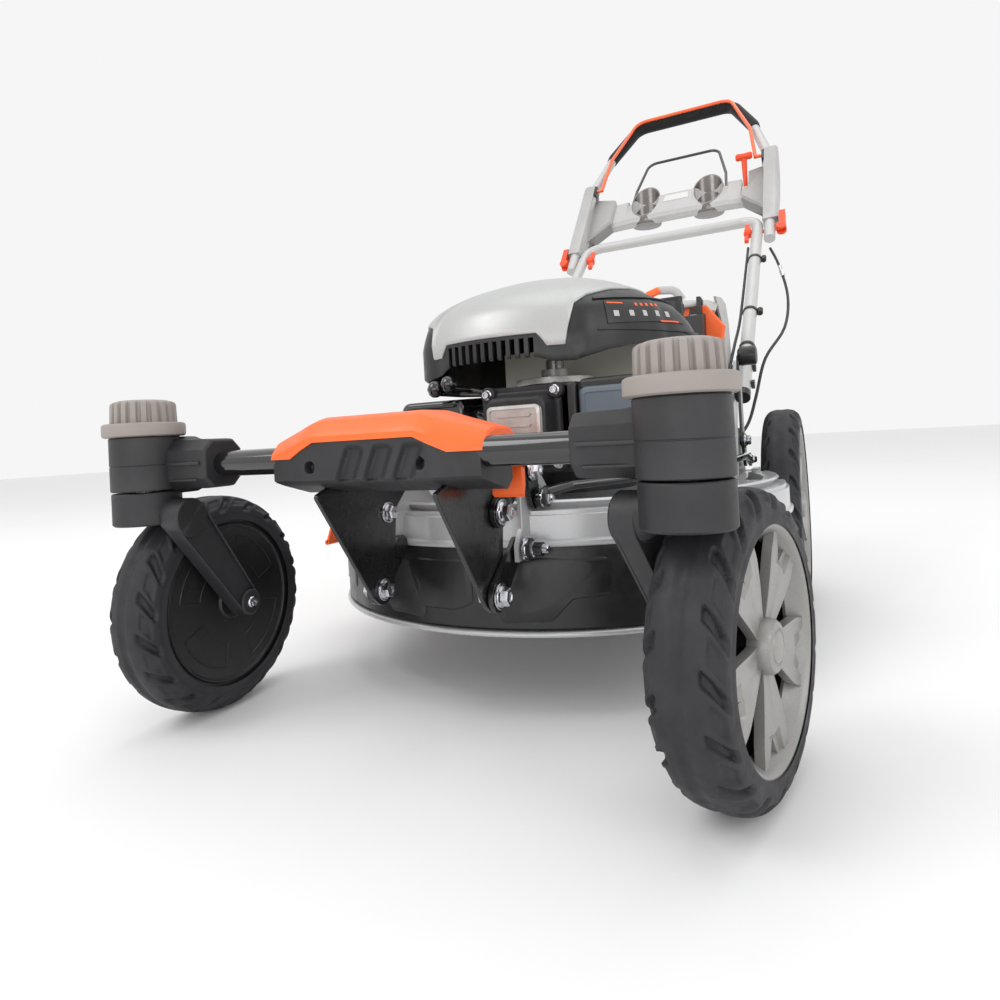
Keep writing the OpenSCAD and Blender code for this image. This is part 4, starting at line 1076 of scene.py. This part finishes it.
guard = [pad(-128, -40, 236, 302, 226, 292, 12, 5)]
for i in range(6):
    guard.append(pad(-118, -50, 233.6, 238, 232 + 9.4 * i, 237 + 9.4 * i, 2.2, 0.6))
guard += [sweep(rounded([(-52, 262, 268), (-28, 250, 268), (-16, 244, 262)], 12), 8.8, 24)]
piece("muffler_guard", guard, "machine", "gloss", "muffler", bevel=0.8)
piece("control_knobs", [lathe([(0.1, -9), (3, -8.6), (6.4, -6.4), (9, 0), (6.4, 6.4), (3, 8.6), (0.1, 9)],
                              (-54 - 17 * k, 226, 304 - 4 * k), "z", 32, loop=False) for k in range(2)]
      + [sweep(rounded([(-54 - 17 * k, 226, 300 - 4 * k), (-40 - 14 * k, 250, 298 - 4 * k),
                        (-16, 262, 292)], 10), 3.2, 14) for k in range(2)],
      "machine", "gloss", sharp=60)

piece("airbox", [pad(88, 158, 227, 322, 236, 299, 9, 2), pad(92, 154, 224, 229, 284, 297, 4, 1),
                 pad(70, 90, 226, 240, 228, 296, 5, 1)],
      "machine", "black_fine", "air_cleaner", bevel=0.8)
piece("airbox_front", [pad(91, 156, 220.6, 229, 241, 291, 8, 3), frame_bars(97, 150, 247, 285, 219.8, 222,
    2.4)], "machine", "blue_grey", bevel=0.5)
piece("fuel_filter_box", [pad(92, 140, 232, 292, 212, 236, 6, 2)], "machine", "green",
      bevel=0.6)
piece("blank_label", [pad(96, 150, 231.2, 233, 226, 236, 1.2, 0.2)], "machine", "label",
      bevel=0.2)

COWL = (8.0, 405.0)
cowl_outline = np.array(soft_outline([(-104, 252), (92, 252), (152, 330), (178, 470), (128, 562),
                                      (-92, 562), (-142, 480), (-134, 318)],
                                     [34, 34, 60, 60, 50, 50, 60, 50], 10)) - np.array(COWL)
cowl_angle = np.degrees(np.arctan2(cowl_outline[:, 1], cowl_outline[:, 0]))
order = np.argsort(cowl_angle)
cowl_angle, cowl_reach = cowl_angle[order], np.hypot(cowl_outline[:, 0], cowl_outline[:, 1])[order]
DOME_R = spline([(0.0, 430, 0), (0.25, 428.5, 0), (0.45, 422, 0), (0.62, 412.5, 0), (0.78, 400, 0),
                 (0.88, 389, 0), (0.945, 377, 0), (0.98, 362, 0), (1.0, 348, 0)], 8)


def cowl_point(degrees, p, lift=0.0):
    """A point on the cowl: p runs from 0 at the crown to 1 at the shoulder's foot and 1.25 at z = 300."""
    reach = float(np.interp(degrees, cowl_angle, cowl_reach, period=360))
    a = math.radians(degrees)
    if p <= 1:
        at = np.interp(p, np.linspace(0, 1, len(DOME_R)), np.arange(len(DOME_R)))
        rho = float(np.interp(at, np.arange(len(DOME_R)), DOME_R[:, 0]))
        z = float(np.interp(at, np.arange(len(DOME_R)), DOME_R[:, 1]))
    else:
        rho, z = 1.0, 348 - (p - 1) * 192
    x, y = COWL[0] + rho * reach * math.cos(a), COWL[1] + rho * reach * math.sin(a)
    dip = 30.0 * math.exp(-((x - 140) ** 2 + (y - 452) ** 2) / (2 * 36 ** 2)) * (z > 352)
    out = np.array((math.cos(a) * (rho > 0.6) * min(1, p), math.sin(a) * (rho > 0.6) * min(1, p),
                    max(0.0, 1.15 - p)))
    out = out / max(1e-6, np.linalg.norm(out))
    return np.array((x, y, z - dip)) + lift * out


def edge_table(pairs):
    angles, values = zip(*pairs)
    return lambda degrees: float(np.interp(degrees, angles, values))


panel_edge = edge_table([(-180, 0.90), (-150, 0.80), (-128, 0.76), (-123.5, 0.80), (-121.3, 1.066),
                         (-117, 1.066), (-114, 0.99), (-77.5, 0.99), (-74, 1.066),
                         (-67.6, 1.066), (-66.4, 0.95), (-63.5, 0.74), (-58, 0.64), (-45, 0.53),
                         (-20, 0.45), (10, 0.43), (35, 0.55), (60, 0.82), (90, 0.97),
                         (150, 0.97), (180, 0.90)])
shell_foot = edge_table([(-180, 1.19), (-135, 1.17), (-126, 1.185), (-118, 1.16), (-113, 1.12), (-78, 1.12),
                         (-72, 1.15), (-64, 1.15), (-52, 1.10), (-30, 1.04),
                         (0, 1.05), (40, 1.12), (90, 1.2), (180, 1.19)])
turns = sorted(set([round(a, 2) for a in np.linspace(-180, 180, 181)] + [-123.5, -121.3, -117, -114, -77.5,
    -74, -67.6, -66.4, -63.5]))


def cowl_shell():
    outer, inner = [], []
    for a in turns:
        foot = shell_foot(a)
        ps = list(np.linspace(0.03, 1.0, 34)) + [1.0 + (foot - 1.0) * t for t in (0.25, 0.5, 0.75, 0.93,
            1.0)]
        outer.append([cowl_point(a, p, 0.0 if p < foot - 0.005 else -0.8) for p in ps])
        inner.append([cowl_point(a, p, -3.0) for p in ps])
    return sheet_solid(outer, inner)


def cowl_panel():
    outer, inner = [], []
    for a in turns:
        foot = panel_edge(a)
        ps = [0.0] + list(foot * np.linspace(0.04, 0.985, 34)) + [foot]
        outer.append([cowl_point(a, p, 2.2 if p < foot - 1e-6 else 1.2) for p in ps])
        inner.append([cowl_point(a, p, 0.2 if p < foot - 1e-6 else 0.0) for p in ps])
    return sheet_solid(outer, inner)


def flank_patch(a0, a1, p0, p1, lift, thick, slope=0.0):
    outer, inner = [], []
    for a in np.linspace(a0, a1, 24):
        shift = slope * (a - a0) / (a1 - a0)
        outer.append([cowl_point(a, p + shift, lift) for p in np.linspace(p0, p1, 10)])
        inner.append([cowl_point(a, p + shift, lift - thick) for p in np.linspace(p0, p1, 10)])
    return sheet_solid(outer, inner)


shell = piece("cowl_frame", [cowl_shell()], "machine", "black_fine", "engine_shroud",
              sharp=50)
vents = []
for i in range(11):
    x = -62 + 9.8 * i
    vents.append(prism([(222, 324), (262, 324), (262, 345), (222, 345)], x, x + 5.4))
carved(shell, *vents)
piece("cowl_top", [cowl_panel()], "machine", "silver", "engine_top_cover", sharp=50)
piece("cowl_flank_frame", [flank_patch(-56, 2, 0.68, 0.70, 1.6, 2.4, -0.12), flank_patch(-56, 2, 0.985, 1.0,
    1.6, 2.4, -0.04)], "machine", "black_fine", sharp=50)
piece("cowl_badge", [flank_patch(-52, -10, 0.72, 0.93, 1.0, 1.4, -0.06)], "machine", "label_dark",
      sharp=50)
piece("cowl_badge_marks", [flank_patch(-49 + 7 * k, -46.8 + 7 * k, 0.82 - 0.008 * k, 0.87 - 0.008 * k, 1.4,
                                       0.8) for k in range(5)], "machine", "grey",
      sharp=50)
piece("cowl_badge_ticks", [flank_patch(-38 + 3 * k, -36.8 + 3 * k, 0.735 - 0.004 * k, 0.765 - 0.004 * k,
                                       1.4, 0.8) for k in range(5)]
      + [flank_patch(-51, -44, 0.74, 0.752, 1.4, 0.8), flank_patch(-26, -14, 0.885, 0.897, 1.4, 0.8,
          -0.02)], "machine", "orange", sharp=50)

wing = soft_outline([(112, 447), (152, 447), (152, 457), (112, 457)], 4.5, 5)
cap = [lathe([(0.1, 380), (13.4, 380), (20.4, 383), (20.9, 385), (20.9, 396), (20, 398.2), (17, 399),
              (0.1, 399)], (132, 452, 0), "z", 64, loop=False), slab(wing, 397, 406)]
for k in range(16):
    a = 2 * math.pi * k / 16
    cap.append(lathe([(0.1, 385), (1.5, 385), (1.5, 396), (0.1, 396)], (132 + 20.2 * math.cos(a),
        452 + 20.2 * math.sin(a), 0), "z", 10, loop=False))
piece("filler_cap", cap, "tank_cap", "black_fine", "fuel_cap", bevel=0.8)
pull = [sweep(rounded([(-93, 454, 444), (-84, 454, 447), (-60, 454, 447), (-51, 454, 444)], 8), 5.6, 20),
        lathe([(0.1, 434), (3.8, 434), (5, 440), (0.1, 440)], (-72, 454, 0), "z", 24, loop=False)]
piece("recoil_grip", pull, "starter", "black", "starter_grip", bevel=0.8)
for name, look in (("fuel_tank", "tank"), ("gearbox", "cast"), ("drive_belt", "belt"),
                   ("crankshaft", "steel"), ("flywheel", "cast"), ("blade", "inner_steel"),
                   ("drive_shaft", "steel"), ("rear_arms", "enamel")):
    keep_cad(name, look, 0.0 if name in ("drive_belt", "drive_shaft") else 0.5)


# ---------------------------------------------------------------- rear housing and flap

keep_cad("rear_housing", "black", 1.0)
FLAP_X = (-164, -150, -92, -30, 30, 92, 150, 164)
FLAP_RISE = (-20, -8, 2, 4, 4, 2, -8, -20)


def flap_skin():
    outer, inner = [], []
    for x, rise in zip(FLAP_X, FLAP_RISE):
        lean = 6 * (abs(x) > 120)
        row = [(634, 419 + rise * 0.3), (650 + lean, 439 + rise * 0.6), (700, 447 + rise),
               (748 - lean, 449 + rise), (772 - lean, 416 + rise * 0.6), (775 - lean * 0.5, 330),
               (775, 198)]
        outer.append([(x, y, z) for y, z in row])
        inner.append([(x * 0.985, y + (4 if y < 700 else -4 if y > 760 else 0), z - 4 if z > 300 else z)
                      for y, z in row])
    return sheet_solid(outer, inner)


def flap_cheek():
    return prism([(644, 436), (700, 443), (744, 440), (768, 410), (772, 198), (716, 198), (712, 392)], 160,
                 163.6)


piece("flap_cover", [flap_skin()] + both([flap_cheek()]) + [lathe([(0.1, -144.5), (3.9, -144.5),
    (3.9, 144.5), (0.1, 144.5)], (0, 625, 424), n=24, loop=False)]
      + [prism([(621.6, 421), (632, 423), (656, 437), (641, 430), (622, 427)], x, x + 20) for x in (-120,
          100)],
      "flap_rear", "grey", "rear_flap", bevel=1.0, angle=12)
arch = rounded([(52, 640, 428), (58, 646, 450), (78, 652, 458), (102, 656, 456), (112, 660, 440)], 14, 8)
grey_end = sweep(arch[-14:], 6.4, 18, flat=0.6, up=(0, 1, 0))
piece("flap_handle", [sweep(arch[:-10], 6.4, 18, flat=0.6, up=(0, 1, 0))], "flap_rear", "orange",
      sharp=50)
piece("flap_handle_end", [grey_end], "flap_rear", "grey", sharp=50)
panel = [(108, 384), (121, 428), (152, 422), (176, 389), (170, 358), (112, 356)]
piece("housing_panel", [lofted([[(x * s + (1 - s) * 142, y, z * s + (1 - s) * 392) for x, z in panel] for y,
                                s in ((640, 1.0), (632, 1.0), (628, 0.93))])],
      "machine", "orange", bevel=1.2)
piece("housing_stripe", [lofted([[(x, y, z) for x, z in ((118, 362), (128, 420), (144, 417), (141, 362))]
                                 for y in (630, 627.2)])], "machine", "label_dark",
      bevel=0.3)
piece("housing_stripe_marks", [lofted([[(x, y, z) for x, z in ((124 + k, 368 + 12 * k),
    (134 + k, 368 + 12 * k), (135 + k, 374 + 12 * k), (125 + k, 374 + 12 * k))] for y in (628, 626.7)])
                               for k in range(4)],
      "machine", "label", bevel=0.2)

# ---------------------------------------------------------------- handle

HANDLE = np.array([[1, 0, 0, 0], [0, math.cos(TILT), math.sin(TILT), FOLD[0]], [0, math.sin(TILT),
    -math.cos(TILT), FOLD[1]], [0, 0, 0, 1.0]])


def on_handle(x, u, n):
    """A point of the upper handle: x across, u up the tubes from the fold, n behind their plane."""
    return tuple(HANDLE @ np.array([x, u, n, 1.0]))[:3]


def loop_route(points, radius, steps=10):
    """A route mirrored in X with its corners rounded."""
    half = [on_handle(*p) for p in points]
    return rounded(half + [(-x, y, z) for x, y, z in reversed(half)], radius, steps)


lower_route = rounded([(188, 692, 293), (188, 1129, 672.6), (-188, 1129, 672.6), (-188, 692, 293)], 34, 12)
piece("lower_tube", [sweep(lower_route, TUBE_R, 36, up=(0, 0.7, -0.7))], "machine", "tube",
      "lower_handle", sharp=50)
upper_points = [(212, -28, 0), (212, 170, 0), (203, 290, 0), (172, 410, 0), (120, 526, 0)]
piece("upper_tube", [sweep(loop_route(upper_points, 40), TUBE_R, 36, up=(0, 0.7, -0.7))], "handle", "tube",
      "upper_handle", sharp=50)
grip_route = loop_route([(176, 394, 0), (172, 410, 0), (120, 526, 0)], 40, 12)
count = len(grip_route)
grip_radii = [14.0] * count
grip_radii[0] = grip_radii[-1] = 12.6
grip = piece("foam_sleeve", [sweep(grip_route, grip_radii, 36, up=(0, 0.7, -0.7))], "handle", "foam",
             "foam_grip", sharp=60)
piece("brake_bar", [sweep(loop_route([(181, 260, -8), (168, 370, -19.5), (117, 525, -19.5)], 34), 4, 20,
                          up=(0, 0.7, -0.7))]
      + both([lathe([(0.1, 181), (4, 181), (4, 193), (0.1, 193)], on_handle(0, 262, -8), n=20,
                    loop=False)]), "brake", "orange_paint", "brake_bail", sharp=50)
piece("drive_bar", [sweep(loop_route([(112, 232, 38), (108, 300, 40), (86, 404, 36)], 26), 3.5, 18,
                          up=(0, 0.7, -0.7))]
      + both([lathe([(0.1, 111), (3.5, 111), (3.5, 120.5), (0.1, 120.5)], on_handle(0, 232, 38), n=20,
                    loop=False)]), "drive", "gloss", "drive_bail", sharp=50)


def plank(outline, n0, n1, inset=0.0):
    """An outline of (x, u) made solid between two depths behind the tubes, narrower at its face n0."""
    pts = [np.array(p, float) for p in outline]
    centre = np.mean(pts, axis=0)
    far = max(np.linalg.norm(p - centre) for p in pts)
    return moved(lofted([[(p[0], p[1], n1) for p in pts], [(p[0], p[1], n0 + inset) for p in pts],
                         [(*(centre + (p - centre) * (1 - inset / far)), n0) for p in pts]]), HANDLE)


def console():
    xs = np.linspace(-206, 206, 61)
    rings = []
    for x in xs:
        arch_up = 9.0 * (1 - (x / 206) ** 2)
        low_u, high_u = 152 + arch_up, 240 + arch_up * 0.5
        face = 22 + 3 * (abs(x) / 206) ** 2
        rings.append([(x, u, n) for u, n in ((low_u, 46), (low_u, face + 8), (low_u + 7, face + 1),
                                             (low_u + 12, face), (high_u - 12, face),
                                             (high_u - 6, face + 1.6), (high_u, face + 8), (high_u, 46))])
    parts = [moved(lofted(rings), HANDLE)]
    arm = [(24, -13), (40, -14), (282, -14), (288, -8), (286, 13), (247, 50), (160, 50), (132, 40),
           (24, 14)]
    cheek = [[(x, u, n) for u, n in arm] for x in (199.6, 224)] + [[(228, 155 + (u - 155) * 0.97,
        14 + (n - 14) * 0.86) for u, n in arm]]
    parts += both([moved(lofted(cheek), HANDLE)])
    gusset = [(206, 96), (206, 262), (150, 246), (150, 158)]
    parts += both([plank(gusset, 14, 46, 6)])
    return parts


cups = []
for x in (-73, 73):
    cups.append(lathe([(32.05, 742.2), (32.05, 850), (34.6, 850), (34.6, 741), (33, 738.4), (30, 738),
                       (0.1, 738), (0.1, 742.2)], (x, 1243, 0), "z", 96, loop=False))
made = piece("console_body", console(), "handle", "grey", "console", bevel=1.2, angle=20)
bores = [lathe([(0.1, 700), (32.02, 700), (32.02, 900), (0.1, 900)], (x, 1243, 0), "z", 96, loop=False)
         for x in (-73, 73)]
slots = [moved(prism([(190, 0), (262, 0), (262, 70), (190, 70)], 148, 164), HANDLE)]
slots += both([moved(prism([(220, 0), (262, 0), (262, 70), (220, 70)], 107, 117.5), HANDLE)])
carved(made, *bores, *slots)
cup = piece("console_cups", cups, "handle", "cup", sharp=36)
open_front = moved(prism([(20, 22.2), (420, 22.2), (420, -200), (20, -200)], -140, 140), HANDLE)
carved(cup, open_front)
piece("bail_blocks", both([moved(prism(soft_outline([(244, -14), (280, -14), (280, 8), (244, 8)], 4, 4),
                                       194, 200.5), HANDLE)]),
      "handle", "black_fine", bevel=0.8)
piece("console_plate", [plank(soft_outline([(-30, 206), (30, 206), (27, 228), (-27, 228)], 3, 4), 20.8, 24,
                              0.4)], "handle", "label", bevel=0.3)
t_grip = lathe([(0.1, 138), (5, 138), (7.6, 140), (8.2, 144), (7.2, 156), (8.2, 168), (7.6, 172), (5, 174),
                (0.1, 174)], on_handle(0, 270, -10), n=36, loop=False)
stem = sweep([on_handle(156, 217, 34), on_handle(156, 240, 14), on_handle(156, 268, -8)], [4.6, 5.2, 6.4],
             24, flat=0.75, up=(0, 0.7, -0.7))
hub = lathe([(0.1, 141), (3.9, 141), (3.9, 151), (8.8, 151.4), (8.8, 160.6), (3.9, 161), (3.9, 171),
             (0.1, 171)], on_handle(0, 213, 38), n=36, loop=False)
piece("speed_handle", [t_grip, stem, hub], "speed", "orange_red", "speed_lever",
      bevel=0.6, angle=50)
keep_cad("clamp_nuts", "orange_red", 1.4)
for word in ("left", "right"):
    keep_cad("cam_lever_" + word, "orange_red", 1.6)
keep_cad("handle_fittings", "black_fine", 0.5)

# ---------------------------------------------------------------- cables

def cable(name, route, node, body):
    """A control cable along a route of points in the CAD source's layout."""
    route = spline(route, 5)
    made = piece(name, [sweep(route, 2.5, 14)], body, "cable", node, sharp=60)
    tuple(to_scene(route[:1])[0])
    [tuple(p) for p in to_scene(route)]


cable("drive_cable", [(212, 1068, 595), (228, 1040, 552), (244, 970, 478), (240, 890, 410), (212, 812, 352),
                      (198, 775, 290), (188, 742, 248), (174, 712, 226), (153.5, 690, 216)],
      ("lower_cables",), "machine")
cable("brake_cable", [(171, 1066, 602), (171, 1000, 546), (171, 860, 430), (168.3, 790, 380),
                      (168.3, 740, 351), (168.3, 690, 320), (168, 645, 290),
                      (166, 600, 262), (160, 548, 254), (122, 490, 250), (62.6, 447, 250)], (), "machine")
keep_cad("upper_cables", "cable")
adjuster = [sweep([(229.5, 1037, 549), (236, 1014, 524)], 3.6, 16),
            sweep([(233, 1026, 537), (235, 1018, 528)], 4.6, 6)]
piece("cable_adjuster", adjuster, "machine", "zinc", sharp=30)
clips = []
for y in (780, 860, 1000):
    z = 293 + (y - 692) * 0.8686
    clips.append(moved(lathe([(11.1, -3), (12.6, -3), (12.6, 3), (11.1, 3)], (0, 0, 0), "z", 40),
                       np.array(Matrix.Translation((188, y, z)) @ Matrix.Rotation(math.radians(-49), 4,
                           "X"))))
piece("cable_clips", both(clips), "machine", "black_fine", sharp=40)


for n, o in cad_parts.items():
    if not o.hide_render and not (o.data.materials and o.data.materials[0] in list(M.values())):
        o.data.materials.clear()
        o.data.materials.append(M["black"])

# ---------------------------------------------------------------- floor

def make_floor():
    made = bpy.data.meshes.new("floor")
    bm = bmesh.new()
    bmesh.ops.create_grid(bm, x_segments=2, y_segments=2, size=14)
    bm.to_mesh(made)
    bm.free()
    made.materials.append(material("pale_floor", (0.86, 0.86, 0.86), 0.7, vary=0.01, patch=2, bump=0.0))
    ground = bpy.data.objects.new("floor", made)
    bpy.context.scene.collection.objects.link(ground)


make_floor()
